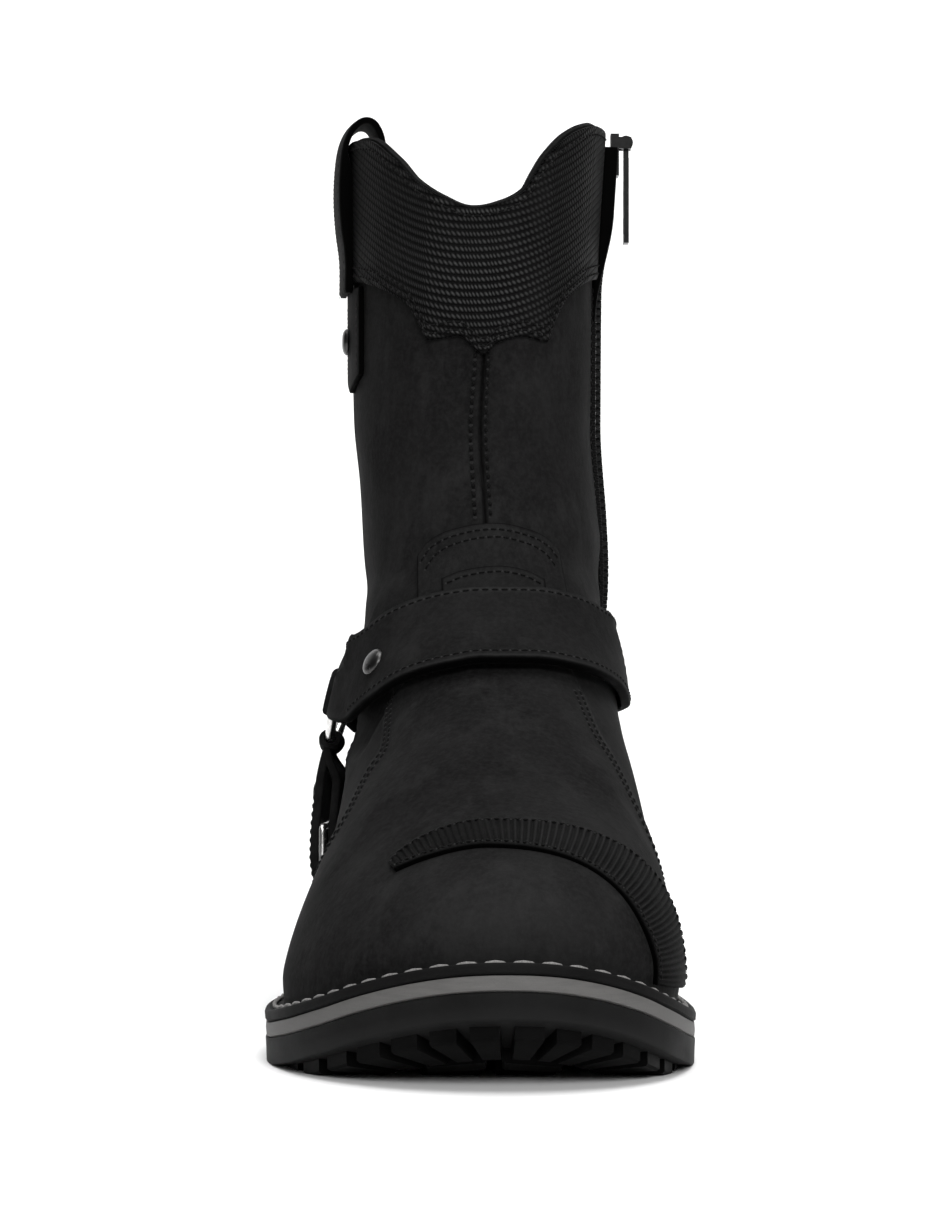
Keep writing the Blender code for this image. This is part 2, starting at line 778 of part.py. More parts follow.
def make_collar_panel():
    """The embossed band round the top of the shaft, open at the zip."""
    edge = curve_of(PANEL_EDGE, "turn", "height")
    turns = sorted({row.turn for row in PANEL_EDGE} | set(column_turns(PANEL_EDGE)))
    rows = []
    for turn in turns:
        top = collar_height((turn + 180) % 360 - 180) - 0.4
        heights = spaced(edge(turn), top, 5)
        rows.append([outward(wrap_point, turn, height, SKIN_GAP) for height in heights])
    sheet("collar_panel", rows, EMBOSSED, 1.2)


def make_instep_layers():
    turns = column_turns(INSTEP_PATCH)
    sheet("instep_patch", wrap_rows(INSTEP_PATCH, 7, turns), LEATHER, PATCH_THICK)
    turns = column_turns(INSTEP_TAB)
    sheet("instep_tab", wrap_rows(INSTEP_TAB, 5, turns), LEATHER, TAB_THICK)


def make_shift_pad():
    """The ribbed band over the toes and down the inner side."""
    back = curve_of(SHIFT_PAD, "over", "back")
    front = curve_of(SHIFT_PAD, "over", "front")
    rows = []
    for over in spaced(SHIFT_PAD[0].over, SHIFT_PAD[-1].over, 22):
        edges = spaced(back(over), front(over), 5)
        rows.append([outward(vamp_point, along, over, SKIN_GAP) for along in edges])
    sheet("shift_pad", rows, LEATHER, PAD_THICK)


# Harness


def ring_frame():
    """Centre of the ring, and its forward, upward and outward directions: its foot leans out."""
    centre = outward(wrap_point, RING_TURN, RING_HEIGHT, RING_LIFT)
    out = centre - wrap_point(RING_TURN, RING_HEIGHT)
    out /= np.linalg.norm(out)
    ahead = np.cross(np.array([0.0, 0.0, 1.0]), out)
    ahead *= np.sign(ahead[1]) / np.linalg.norm(ahead)
    up = np.cross(out, ahead)
    up *= np.sign(up[2])
    tilt = math.radians(RING_TILT)
    leaning = math.cos(tilt) * up - math.sin(tilt) * out
    return centre, ahead, leaning, math.cos(tilt) * out + math.sin(tilt) * up


RING_CENTRE, RING_AHEAD, RING_UP, RING_OUT = ring_frame()


def ring_point(angle, radius, lift=0.0):
    """A point in the ring's plane: angle 0 towards the toe, 90 up."""
    angle = math.radians(angle)
    return RING_CENTRE + radius * (math.cos(angle) * RING_AHEAD + math.sin(angle) * RING_UP) + lift * RING_OUT


def make_ring():
    bpy.ops.mesh.primitive_torus_add(
        major_segments=26,
        minor_segments=8,
        major_radius=RING_RADIUS * MM,
        minor_radius=RING_WIRE * MM,
    )
    ring = bpy.context.object
    ring.name = "ring"
    for home in ring.users_collection:
        home.objects.unlink(ring)
    BOOT.objects.link(ring)
    place = Matrix.Identity(4)
    centre = to_world(RING_CENTRE)
    for column, direction in enumerate((RING_AHEAD, RING_UP, RING_OUT)):
        place.col[column] = (*(to_world(RING_CENTRE + direction) - centre).normalized(), 0)
    place.col[3] = (*centre, 1)
    ring.matrix_world = place
    coat(ring, STEEL)


def strap_loop(name, angle):
    """The fold of leather that holds a strap to the ring: a sleeve round part of its wire."""
    steps = 7
    sides = 10
    points = []
    for bore in (LOOP_OUTSIDE, LOOP_BORE):
        for i in range(steps):
            turn = angle - LOOP_SPAN / 2 + LOOP_SPAN * i / (steps - 1)
            for j in range(sides):
                round_wire = 2 * math.pi * j / sides
                radius = RING_RADIUS + bore * math.cos(round_wire)
                points.append(ring_point(turn, radius, bore * math.sin(round_wire)))
    faces = grid_faces(steps, sides, True)
    inner = steps * sides
    faces += [tuple(index + inner for index in face) for face in faces]
    for end in (0, (steps - 1) * sides):
        for j in range(sides):
            k = (j + 1) % sides
            faces.append((end + j, end + k, inner + end + k, inner + end + j))
    return helper(add(name, mesh_of(name, points, faces), LEATHER))


STRAP_ACROSS = 5
LOOP_INSET = 2.0


def strap_start(angle, flip):
    """The first row of a strap, on the ring side, sunk into its loop."""
    half = LOOP_SPAN / 2 - LOOP_INSET
    radius = RING_RADIUS + (LOOP_BORE + LOOP_OUTSIDE) / 2
    row = [ring_point(turn, radius) for turn in spaced(angle - half, angle + half, STRAP_ACROSS)]
    return row[::-1] if flip else row


def blend_rows(first, last, count):
    """Rows between two rows of points, without the ends."""
    rows = []
    for i in range(1, count + 1):
        share = i / (count + 1)
        rows.append([(1 - share) * a + share * b for a, b in zip(first, last)])
    return rows


def strap_band(name, angle, flip, rows, thick):
    """A band from the ring through its rows."""
    start = strap_start(angle, flip)
    return sheet(name, [start] + blend_rows(start, rows[0], 1) + rows, LEATHER, thick, centred=True)


def strap(name, angle, flip, rows, thick=STRAP_THICK):
    """A band joined to its loop on the ring."""
    band = strap_band(name, angle, flip, rows, thick)
    boolean(band, strap_loop(f"{name}_loop", angle), "UNION")
    return band


def make_straps():
    """Three straps that meet at the ring on the outer side."""
    turns = column_turns(INSTEP_STRAP)
    rows = wrap_rows(INSTEP_STRAP, STRAP_ACROSS, turns)
    strap("instep_strap", INSTEP_STRAP_AT, False, rows)
    turns = column_turns(HEEL_STRAP)[::-1]
    rows = wrap_rows(HEEL_STRAP, STRAP_ACROSS, turns)
    strap("heel_strap", HEEL_STRAP_AT, True, rows)
    outer = strap("sole_strap", SOLE_STRAP_AT, False, sole_rows(sole_lift), SOLE_STRAP_THICK)
    inner = strap_band("sole_strap_inner", SOLE_STRAP_AT, False, sole_rows(sole_inner_lift), SOLE_STRAP_THICK)
    boolean(outer, helper(inner), "UNION")


def outer_side(along, height):
    return side_point(along, height, -1)


sole_lift = curve_of(SOLE_STRAP, "height", "lift")
sole_inner_lift = curve_of(SOLE_STRAP, "height", "inner_lift")


def sole_rows(lift):
    """Rows of points on one layer of the sole strap, which is folded round the ring."""
    rows = []
    for row in SOLE_STRAP:
        edges = spaced(row.back, row.front, STRAP_ACROSS)
        rows.append([outward(outer_side, along, row.height, lift(row.height)) for along in edges])
    return rows


def rivet(name, surface, first, second, lift, tone):
    """A domed rivet head standing on a surface."""
    seat = outward(surface, first, second, lift)
    out = to_world(outward(surface, first, second, lift + 1)) - to_world(seat)
    shape = bmesh.new()
    stages = ((1.0, 0.0), (1.0, 0.3), (0.8, 0.75), (0.4, 1.0))
    sides = 10
    rings = []
    for radius, height in stages:
        ring = bmesh.ops.create_circle(shape, segments=sides, radius=radius * RIVET_RADIUS * MM)["verts"]
        bmesh.ops.translate(shape, verts=ring, vec=(0, 0, height * RIVET_HEIGHT * MM))
        rings.append(ring)
    for low, high in zip(rings, rings[1:]):
        for j in range(sides):
            k = (j + 1) % sides
            shape.faces.new((low[j], low[k], high[k], high[j]))
    shape.faces.new(rings[0])
    shape.faces.new(rings[-1])
    bmesh.ops.recalc_face_normals(shape, faces=shape.faces)
    mesh = bpy.data.meshes.new(name)
    shape.to_mesh(mesh)
    shape.free()
    obj = add(name, mesh, tone)
    obj.matrix_world = Matrix.Translation(to_world(seat)) @ out.to_track_quat("Z", "Y").to_matrix().to_4x4()


def make_rivets():
    over_strap = STRAP_THICK / 2 + RIVET_CLEAR
    instep_lift = curve_of(INSTEP_STRAP, "turn", "lift")
    heel_lift = curve_of(HEEL_STRAP, "turn", "lift")
    front_seat = instep_lift(FRONT_RIVET_TURN) + over_strap
    rivet("rivet_front", wrap_point, FRONT_RIVET_TURN, FRONT_RIVET_HIGH, front_seat, STEEL)
    side_seat = heel_lift(SIDE_RIVET_TURN) + over_strap
    rivet("rivet_side", wrap_point, SIDE_RIVET_TURN, SIDE_RIVET_HIGH, side_seat, STEEL)
    sole_seat = sole_lift(SOLE_RIVET_HIGH) + SOLE_STRAP_THICK / 2 + RIVET_CLEAR
    rivet("rivet_sole", outer_side, SOLE_RIVET_ALONG, SOLE_RIVET_HIGH, sole_seat, STEEL)
    tab_seat = SKIN_GAP + PULL_TAB_THICK + SEAT_GAP
    rivet("rivet_pull", wrap_point, PULL_STRAP_TURN, PULL_RIVET_HIGH, tab_seat, STEEL)


def make_keeper():
    """A steel wire frame between the layers of the sole strap."""
    corners = []
    for corner in KEEPER_CORNERS:
        lift = (sole_lift(corner.height) + sole_inner_lift(corner.height)) / 2
        corners.append(outward(outer_side, corner.along, corner.height, lift))
    spline_data = bpy.data.curves.new("strap_keeper", "CURVE")
    spline_data.dimensions = "3D"
    spline_data.bevel_depth = KEEPER_WIRE * MM
    spline_data.bevel_resolution = 1
    spline = spline_data.splines.new("POLY")
    spline.points.add(len(corners) - 1)
    for point, corner in zip(spline.points, corners):
        point.co = (*to_world(corner), 1)
    spline.use_cyclic_u = True
    obj = bpy.data.objects.new("strap_keeper", spline_data)
    BOOT.objects.link(obj)
    coat(obj, STEEL)


# Pull strap

PullRow = namedtuple("PullRow", "out height")
PULL_LOOP = [
    PullRow(3.4, 225.0),
    PullRow(3.4, 236.0),
    PullRow(4.6, 246.0),
    PullRow(5.1, 256.0),
    PullRow(4.6, 265.5),
    PullRow(3.5, 271.6),
    PullRow(1.3, 275.8),
    PullRow(-2.0, 278.0),
    PullRow(-5.2, 276.8),
    PullRow(-7.4, 271.5),
    PullRow(-7.6, 262.0),
    PullRow(-6.0, 250.0),
]


def make_pull_strap():
    """A leather loop over the collar's outer side, its foot on a riveted tab."""
    tab = []
    for share in spaced(-1.0, 1.0, 5):
        turn = PULL_TAB_TURN + PULL_TAB_HALF_TURN * share
        heights = spaced(PULL_TAB_LOW + PULL_TAB_SIDES_RISE * abs(share), PULL_TAB_HIGH, 5)
        tab.append([outward(wrap_point, turn, height, SKIN_GAP) for height in heights])
    sheet("pull_tab", tab, LEATHER, PULL_TAB_THICK)
    rows = []
    for step in PULL_LOOP:
        level = min(step.height, PULL_STRAP_LEAVES)
        centre = wrap_point(PULL_STRAP_TURN, level)[1]
        across = spaced(centre - PULL_STRAP_WIDE / 2, centre + PULL_STRAP_WIDE / 2, 4)
        rows.append([(outer_side(along, level)[0] - step.out, along, step.height) for along in across])
    sheet("pull_strap", rows, LEATHER, PULL_STRAP_THICK, centred=True)


# Zip


def block(name, low, high, tone):
    """A box between two corners given as (x, along, height)."""
    low_corner = to_world(low)
    high_corner = to_world(high)
    shape = bmesh.new()
    bmesh.ops.create_cube(shape, size=1)
    size = [abs(high_corner[i] - low_corner[i]) for i in range(3)]
    bmesh.ops.scale(shape, vec=size, verts=shape.verts)
    bmesh.ops.translate(shape, vec=(low_corner + high_corner) / 2, verts=shape.verts)
    mesh = bpy.data.meshes.new(name)
    shape.to_mesh(mesh)
    shape.free()
    return add(name, mesh, tone)


def rod(name, centre, radius, length, tone):
    """A round bar along the boot's length."""
    shape = bmesh.new()
    ends = {"radius1": radius * MM, "radius2": radius * MM}
    bmesh.ops.create_cone(shape, cap_ends=True, segments=20, depth=length * MM, **ends)
    bmesh.ops.rotate(shape, cent=(0, 0, 0), matrix=Matrix.Rotation(math.pi / 2, 3, "X"), verts=shape.verts)
    bmesh.ops.translate(shape, vec=to_world(centre), verts=shape.verts)
    mesh = bpy.data.meshes.new(name)
    shape.to_mesh(mesh)
    shape.free()
    return add(name, mesh, tone)


def inner_side(height, along):
    return side_point(along, height, 1)


def zip_along(height):
    """The zip's middle line, which leans back a little on its way up."""
    share = (height - ZIP_FOOT) / (TAPE_TOP - ZIP_FOOT)
    return ZIP_FOOT_ALONG + (ZIP_TOP_ALONG - ZIP_FOOT_ALONG) * share


ZIP_WALL = inner_side(PIN_HEIGHT - SLIDER_TALL / 2, zip_along(PIN_HEIGHT))
SLIDER_BACK = ZIP_WALL[0] + SKIN_GAP + ZIP_STANDS + TAPE_THICK + SEAT_GAP + SLIDER_CLEAR
SLIDER_FACE = SLIDER_BACK + SLIDER_DEEP
PIN_X = SLIDER_FACE + EYE_RADIUS + EYE_CLEAR


def make_zip():
    sheet("zip_tape", zip_rows(TAPE_HALF, 4, ZIP_FOOT, TAPE_TOP, 0.0), TAPE, TAPE_THICK)
    teeth_top = SLIDER_TOP - SLIDER_TALL - TEETH_CLEAR
    teeth = zip_rows(TEETH_HALF, 2, ZIP_FOOT + 2, teeth_top, TAPE_THICK + SEAT_GAP)
    sheet("zip_teeth", teeth, DARK_METAL, TEETH_THICK)


def zip_rows(half, across, low, high, lift):
    """Rows of points up the inner side, standing a little prouder near the collar."""
    rows = []
    for height in spaced(low, high, 16):
        proud = SKIN_GAP + lift + ZIP_STANDS * smoothstep((height - ZIP_STANDS_FROM) / ZIP_STANDS_OVER)
        middle_line = zip_along(height)
        places = spaced(middle_line - half, middle_line + half, across)
        rows.append([outward(inner_side, height, along, proud) for along in places])
    return rows


def make_slider():
    """The zip's slider, with two ears and a pin that carry the pull."""
    at = ZIP_WALL[1]
    low = SLIDER_TOP - SLIDER_TALL
    near = (SLIDER_BACK, at - SLIDER_HALF, low)
    slider = block("zip_slider", near, (SLIDER_FACE, at + SLIDER_HALF, SLIDER_TOP), DARK_METAL)
    for side in (-1, 1):
        inner = at + side * EAR_IN
        outer = at + side * EAR_OUT
        near = (SLIDER_FACE - EAR_SUNK, min(inner, outer), PIN_HEIGHT - EAR_BELOW)
        far = (PIN_X + EAR_ABOVE, max(inner, outer), PIN_HEIGHT + EAR_ABOVE)
        boolean(slider, helper(block(f"slider_ear_{side}", near, far, DARK_METAL)), "UNION")
    pin = rod("slider_pin", (PIN_X, at, PIN_HEIGHT), PIN_RADIUS, 2 * (EAR_OUT - PIN_SHORT), DARK_METAL)
    boolean(slider, helper(pin), "UNION")


def make_pull():
    """The pull tab, hanging from the slider's pin."""
    at = ZIP_WALL[1]
    low = PIN_HEIGHT - PULL_LENGTH
    half = PULL_THICK / 2
    near = (PIN_X - half, at - PULL_WIDE / 2, low)
    far = (PIN_X + half, at + PULL_WIDE / 2, PIN_HEIGHT - PULL_SHOULDER)
    pull = block("zip_pull", near, far, DARK_METAL)
    neck_near = (PIN_X - half, at - NECK_HALF, PIN_HEIGHT - PULL_SHOULDER - NECK_SUNK)
    neck_far = (PIN_X + half, at + NECK_HALF, PIN_HEIGHT - NECK_SUNK)
    boolean(pull, helper(block("pull_neck", neck_near, neck_far, DARK_METAL)), "UNION")
    pin = (PIN_X, at, PIN_HEIGHT)
    boolean(pull, helper(rod("pull_eye", pin, EYE_RADIUS, EYE_LONG, DARK_METAL)), "UNION")
    bore = rod("pull_bore", pin, PIN_RADIUS + EYE_PLAY, 2 * EYE_LONG, DARK_METAL)
    boolean(pull, helper(bore), "DIFFERENCE")
    slot_near = (PIN_X - PULL_THICK, at - SLOT_HALF, low + SLOT_LOW)
    slot_far = (PIN_X + PULL_THICK, at + SLOT_HALF, low + SLOT_HIGH)
    boolean(pull, helper(block("pull_slot", slot_near, slot_far, DARK_METAL)), "DIFFERENCE")


make_outsole()
make_heel()
plate("midsole", SOLE_MARGIN - 0.3, SOLE_MARGIN - 0.3, OUTSOLE_TOP + SEAT_GAP, MIDSOLE_TOP, GREY_FOAM)
make_welt()
make_insole()
make_upper()
make_collar_panel()
make_instep_layers()
make_shift_pad()
make_ring()
make_straps()
make_rivets()
make_keeper()
make_pull_strap()
make_zip()
make_slider()
make_pull()
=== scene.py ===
"""Looks of a black leather harness boot: fine surfaces, stitches, hardware and materials on its solids.

Lengths in the tables are millimetres. "along" runs from the heel (0) to the toe (about 306), "turn" is the
angle round the boot in degrees: 0 in front, 90 on the inner side, -90 on the outer side.
"""

import math
from collections import namedtuple

import bmesh
import bpy
import numpy as np
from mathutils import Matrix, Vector


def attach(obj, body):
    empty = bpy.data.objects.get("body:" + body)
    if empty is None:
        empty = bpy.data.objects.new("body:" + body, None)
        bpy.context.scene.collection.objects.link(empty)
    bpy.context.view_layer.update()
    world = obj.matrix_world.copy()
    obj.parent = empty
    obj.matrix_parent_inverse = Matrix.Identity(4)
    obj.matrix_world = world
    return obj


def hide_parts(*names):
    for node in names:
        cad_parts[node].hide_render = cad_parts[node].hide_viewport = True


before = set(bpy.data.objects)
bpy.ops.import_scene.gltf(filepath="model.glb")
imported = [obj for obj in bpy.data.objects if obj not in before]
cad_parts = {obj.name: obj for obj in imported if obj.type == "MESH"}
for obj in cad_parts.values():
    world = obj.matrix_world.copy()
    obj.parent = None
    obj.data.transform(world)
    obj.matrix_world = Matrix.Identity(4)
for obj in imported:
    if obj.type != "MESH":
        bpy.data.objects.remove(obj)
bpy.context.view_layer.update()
MM = 0.001
BOOT = "boot"
LEATHER_SLOT = "leather_black"
EMBOSSED_SLOT = "leather_embossed"
UPWARD = np.array([0.0, 0.0, 1.0])
TO_OUTER_SIDE = np.array([-1.0, 0.0, 0.0])

# Driving sizes of the boot
ALONG_OF_ORIGIN = 153.85
X_OF_ORIGIN = -0.33
FEATHER_HEIGHT = 19.3
LUG_DEPTH = 3.8
OUTSOLE_TOP = 11.3
MIDSOLE_TOP = 15.6
WELT_TOP = 19.0
SEAT_GAP = 0.3
SOLE_MARGIN = 6.2
WALL = 2.4
FEATHER_TUCK = 1.4
TUCK_TALL = 10.0
TUCK_FADES = 20.0
TOE_END = 300.0
TOE_ROUND = 80.0
TOE_POWER = 2.2
HEEL_ROUND = 36.0
HEEL_POWER = 2.3
SHAFT_POWER = 2.3
SHAFT_STARTS = 84.0
SHAFT_RULES = 150.0
SKIN_GAP = 0.5


def rows_of(kind, *values):
    """The rows of a table, all of one kind."""
    return [kind(*value) for value in values]


# The last, a row for each section of the foot
Station = namedtuple("Station", "along centre half inner_power outer_power rise")
FOOT = rows_of(
    Station,
    (0, -1, 33, 3, 2.8, 21),
    (45, -1, 33.5, 3, 2.8, 20.5),
    (80, -0.6, 34.5, 3, 2.6, 19.2),
    (110, 0.2, 38.5, 3.2, 2.5, 15),
    (140, 0.8, 43.5, 3.2, 2.3, 7.5),
    (165, 0.8, 48, 2.9, 2, 2.6),
    (190, 0, 51.7, 2.6, 1.8, 0),
    (215, -0.5, 54, 2.5, 1.7, 0),
    (232, -0.1, 54.4, 2.6, 1.7, 0),
    (255, 1.4, 54.2, 2.6, 1.7, 2.6),
    (275, 3.6, 54, 2.4, 1.8, 7.2),
    (290, 5.4, 54, 2.2, 1.9, 12.5),
    (307, 7.5, 54, 2, 2, 19.6),
)

# Profile seen from the side, a row for each level: heights are over the feather line at that end
Level = namedtuple("Level", "back_along back_up front_along front_up follow")
PROFILE = rows_of(
    Level,
    (9, 0, 300, 0, 1),
    (6.8, 6, 299.8, 6, 0.92),
    (5.3, 13, 298, 13.5, 0.84),
    (4.8, 20, 293, 21.3, 0.72),
    (5.2, 27, 283, 31.3, 0.58),
    (6.2, 34.5, 266, 43.5, 0.44),
    (7.6, 42.5, 244, 56.1, 0.32),
    (9.2, 51, 222, 67.2, 0.2),
    (10.6, 61, 200, 77.7, 0.1),
    (11.5, 72, 180, 87.6, 0.05),
    (11.6, 84, 163, 95.8, 0),
    (10.8, 97, 150, 105.5, 0),
    (9.4, 111, 141.5, 117.1, 0),
    (7.8, 126, 136, 130.7, 0),
    (6.2, 144, 132.5, 148.3, 0),
    (4.8, 165, 130.5, 169.8, 0),
    (3.8, 187, 129, 192.4, 0),
    (2.6, 236, 128.5, 246.4, 0),
)
COLLAR_STARTS = len(PROFILE) - 2

# The shaft, a row for each height
Ring = namedtuple("Ring", "height centre half")
SHAFT = rows_of(
    Ring,
    (60, -1, 37), (95, 0.3, 37.2), (127, 1.3, 36.4), (155, 0, 36.6), (186, -2.2, 37),
    (226, -2.1, 37.3), (280, -0.8, 38.9),
)

# Height of the collar's edge round the shaft
Rim = namedtuple("Rim", "turn height")
COLLAR = rows_of(
    Rim,
    (-180, 250), (-140, 256), (-100, 268), (-72, 272), (-50, 270.6), (-33, 263.8), (-21, 255.9),
    (-10, 251), (0, 248), (9, 249.7), (18, 253.4), (22, 258.2), (28, 264.4), (40, 271.6), (50, 274.5),
    (62, 276.2), (80, 276.5), (90, 275), (110, 269), (140, 257), (180, 250),
)

# Lower edge of the collar panel, and the bands that wrap the ankle
PANEL_EDGE = rows_of(
    Rim,
    (-261, 229), (-90, 229), (-62, 228), (-38, 224), (-26, 219.5), (-20, 213), (-16, 208),
    (-4, 209.2), (3, 203.6), (8, 207.2), (18, 209.3), (30, 208), (34, 214), (42, 222), (60, 228),
    (81, 230.5),
)
Wrap = namedtuple("Wrap", "turn low high lift")
INSTEP_STRAP = rows_of(
    Wrap,
    (-66, 95.5, 117, 2.3), (-50, 100.5, 120.5, 3.4), (-30, 105.3, 126.3, 4.8),
    (-12, 107.8, 129.8, 5.1), (0, 109, 131, 5.1), (12, 109, 131, 5.1), (30, 107.5, 129.2, 4.8),
    (50, 105, 126, 3.2), (75, 98.5, 123, 2.2), (84, 97, 121, 2),
)
HEEL_STRAP = rows_of(
    Wrap,
    (-104, 90, 111, 2.4), (-130, 91, 113, 2), (-180, 92, 114, 2), (-225, 94, 116, 2),
    (-248, 95, 117, 2),
)
INSTEP_PATCH = rows_of(
    Wrap,
    (-25, 122, 143, 0.8), (-20, 119, 147.5, 0.8), (-10, 117, 151, 0.8), (4, 116, 153, 0.8),
    (18, 117, 151, 0.8), (27, 119, 147.8, 0.8), (31, 122, 144, 0.8),
)
INSTEP_TAB = rows_of(
    Wrap,
    (-14, 118, 135.6, 2.4), (-6, 116.5, 138, 2.4), (4, 115.5, 139.3, 2.4), (13, 116.5, 138, 2.4),
    (20, 118, 135.3, 2.4),
)
PATCH_THICK = 1.2
TAB_THICK = 0.8
SoleStrap = namedtuple("SoleStrap", "height back front lift inner_lift")
SOLE_STRAP = rows_of(
    SoleStrap,
    (75, 97, 118, 9.4, 4.2),
    (64, 101.5, 124, 9.4, 4.2),
    (54, 106, 129, 8.8, 3.6),
    (46, 110.5, 133.5, 6.8, 2.6),
    (39, 114, 137, 4.6, 1.9),
    (34, 117, 140, 3.3, 1.6),
)

# Shift pad over the toes: angle over the vamp from the outer feather line, and its two edges
Pad = namedtuple("Pad", "over back front")
SHIFT_PAD = rows_of(
    Pad,
    (54, 262, 267.5), (58, 259, 269), (70, 258, 272), (90, 258.5, 274), (115, 256.5, 275.5),
    (135, 252, 276.5), (152, 246, 277), (166, 240, 276), (177, 236.5, 274.5),
)
PAD_THICK = 1.6

# Harness hardware
STRAP_THICK = 3.0
SOLE_STRAP_THICK = 2.6
RING_RADIUS = 13.5
RING_WIRE = 1.5
RING_SIDES = 18
RING_STEP = 4.0
RING_TURN = -88.0
RING_HEIGHT = 100.0
RING_LIFT = 4.9
RING_TILT = 11.0
INSTEP_STRAP_AT = 11.0
HEEL_STRAP_AT = 178.0
SOLE_STRAP_AT = -84.0
LOOP_BORE = 1.8
LOOP_OUTSIDE = 3.4
LOOP_SPAN = 54.0
KEEPER_WIRE = 1.1
KEEPER_CORNER = 2.2
KEEPER_CORNER_STEPS = 8
KEEPER_SIDES = 14
Corner = namedtuple("Corner", "along height")
KEEPER_CORNERS = rows_of(
    Corner,
    (100, 63), (113, 63), (126.2, 63), (131.6, 51), (119, 51), (106, 51),
)
RIVET_RADIUS = 4.0
RIVET_HEIGHT = 1.7

# Zip and pull strap
ZIP_FOOT = 102.0
ZIP_FOOT_ALONG = 79.0
ZIP_TOP_ALONG = 65.0
TAPE_HALF = 7.0
TEETH_HALF = 2.6
TAPE_THICK = 0.8
TEETH_THICK = 1.6
TAPE_TOP = 272.0
ZIP_STANDS = 1.6
ZIP_STANDS_FROM = 226.0
ZIP_STANDS_OVER = 20.0
SLIDER_TOP = 276.5
SLIDER_TALL = 13.0
PULL_STRAP_WIDE = 24.0
PULL_STRAP_THICK = 2.0
PULL_STRAP_TURN = -76.0
PULL_STRAP_LEAVES = 266.0
PULL_TAB_THICK = 1.4
PULL_TAB_TURN = -73.0
PULL_TAB_HALF_TURN = 15.0
PULL_TAB_LOW = 194.5
PULL_TAB_SIDES_RISE = 5.0
PULL_TAB_HIGH = 226.4

PullRow = namedtuple("PullRow", "out height")
PULL_LOOP = rows_of(
    PullRow,
    (3.4, 225), (3.4, 236), (4.6, 246), (5.1, 256), (4.6, 265.5), (3.5, 271.6), (1.3, 275.8),
    (-2, 278), (-5.2, 276.8), (-7.4, 271.5), (-7.6, 262), (-6, 250),
)


# Edge of the vamp, which lies over the quarters, on the outer and the inner side of the foot
VAMP_EDGE_OUTER = rows_of(
    Rim,
    (-47, 110), (-49, 98), (-50, 89), (-55, 82), (-62, 69), (-74, 56), (-87, 40), (-97, 22),
)
VAMP_EDGE_INNER = rows_of(
    Rim,
    (31, 110), (41, 94), (46, 88), (52, 78), (59, 69), (70, 56), (83, 40), (94, 22),
)
FRONT_SEAM = rows_of(Rim, (1.2, 150), (1.6, 166), (2.2, 183), (3.4, 204))

# Soft troughs (deep above 0) and ridges (deep below 0): middle, half lengths and depth
Fold = namedtuple("Fold", "turn height turn_half height_half slope deep")
FOLDS = rows_of(
    Fold,
    (-52, 139, 40, 5, 0.10, 0.9),
    (-48, 131, 38, 5, 0.08, -0.5),
    (58, 141, 40, 5.5, -0.10, 0.9),
    (62, 151, 34, 5, -0.06, -0.5),
    (180, 128, 60, 6, 0, 1),
    (180, 139, 55, 6, 0, -0.6),
    (180, 150, 46, 5.5, 0, 0.6),
    (-64, 176, 30, 9, 0.20, 0.5),
    (50, 183, 30, 10, -0.18, 0.5),
    (-38, 88, 30, 4.5, 0, 0.45),
    (40, 90, 30, 4.5, 0, 0.45),
    (120, 165, 30, 8, 0.1, 0.5),
    (-130, 170, 30, 8, -0.1, 0.5),
)


# Curves and the boot's outer face


def monotone(at, value):
    """A smooth curve through points that never overshoots them."""
    step = np.diff(at)
    slope = np.diff(value) / step
    tangent = np.zeros(len(at))
    tangent[0] = slope[0]
    tangent[-1] = slope[-1]
    for i in range(1, len(at) - 1):
        if slope[i - 1] * slope[i] > 0:
            tangent[i] = 2 * slope[i - 1] * slope[i] / (slope[i - 1] + slope[i])

    def curve(x):
        x = np.clip(np.asarray(x, float), at[0], at[-1])
        i = np.clip(np.searchsorted(at, x, side="right") - 1, 0, len(step) - 1)
        t = (x - at[i]) / step[i]
        start = value[i] * (1 + 2 * t) + tangent[i] * step[i] * t
        end = value[i + 1] * (3 - 2 * t) - tangent[i + 1] * step[i] * (1 - t)
        return start * (1 - t) ** 2 + end * t * t

    return curve


def curve_of(rows, key, column):
    """A smooth curve through one column of a table."""
    at = np.array([getattr(row, key) for row in rows], float)
    value = np.array([getattr(row, column) for row in rows], float)
    order = np.argsort(at)
    return monotone(at[order], value[order])


foot_centre = curve_of(FOOT, "along", "centre")
foot_half = curve_of(FOOT, "along", "half")
sole_rise = curve_of(FOOT, "along", "rise")
inner_power = curve_of(FOOT, "along", "inner_power")
outer_power = curve_of(FOOT, "along", "outer_power")
shaft_centre = curve_of(SHAFT, "height", "centre")
shaft_half = curve_of(SHAFT, "height", "half")
collar_height = curve_of(COLLAR, "turn", "height")
ridge_up = curve_of(PROFILE, "front_along", "front_up")


def feather(along):
    """Height of the line where the upper meets the welt."""
    return FEATHER_HEIGHT + sole_rise(along)


BACK_ALONG = np.array([row.back_along for row in PROFILE])
FRONT_ALONG = np.array([row.front_along for row in PROFILE])
BACK_UP = np.array([row.back_up for row in PROFILE])
back_along = monotone(feather(BACK_ALONG) + BACK_UP, BACK_ALONG)


def ridge_height(along):
    """Height of the boot's front line, over the toe and up the shaft."""
    return feather(along) + ridge_up(along)


RIDGE_ALONG = np.linspace(FRONT_ALONG[-1], FRONT_ALONG[0], 4000)
RIDGE_HEIGHT = ridge_height(RIDGE_ALONG)


def front_along(height):
    """Where the front line reaches a height."""
    return np.interp(height, RIDGE_HEIGHT[::-1], RIDGE_ALONG[::-1])


def smoothstep(x):
    x = np.clip(x, 0.0, 1.0)
    return x * x * (3 - 2 * x)


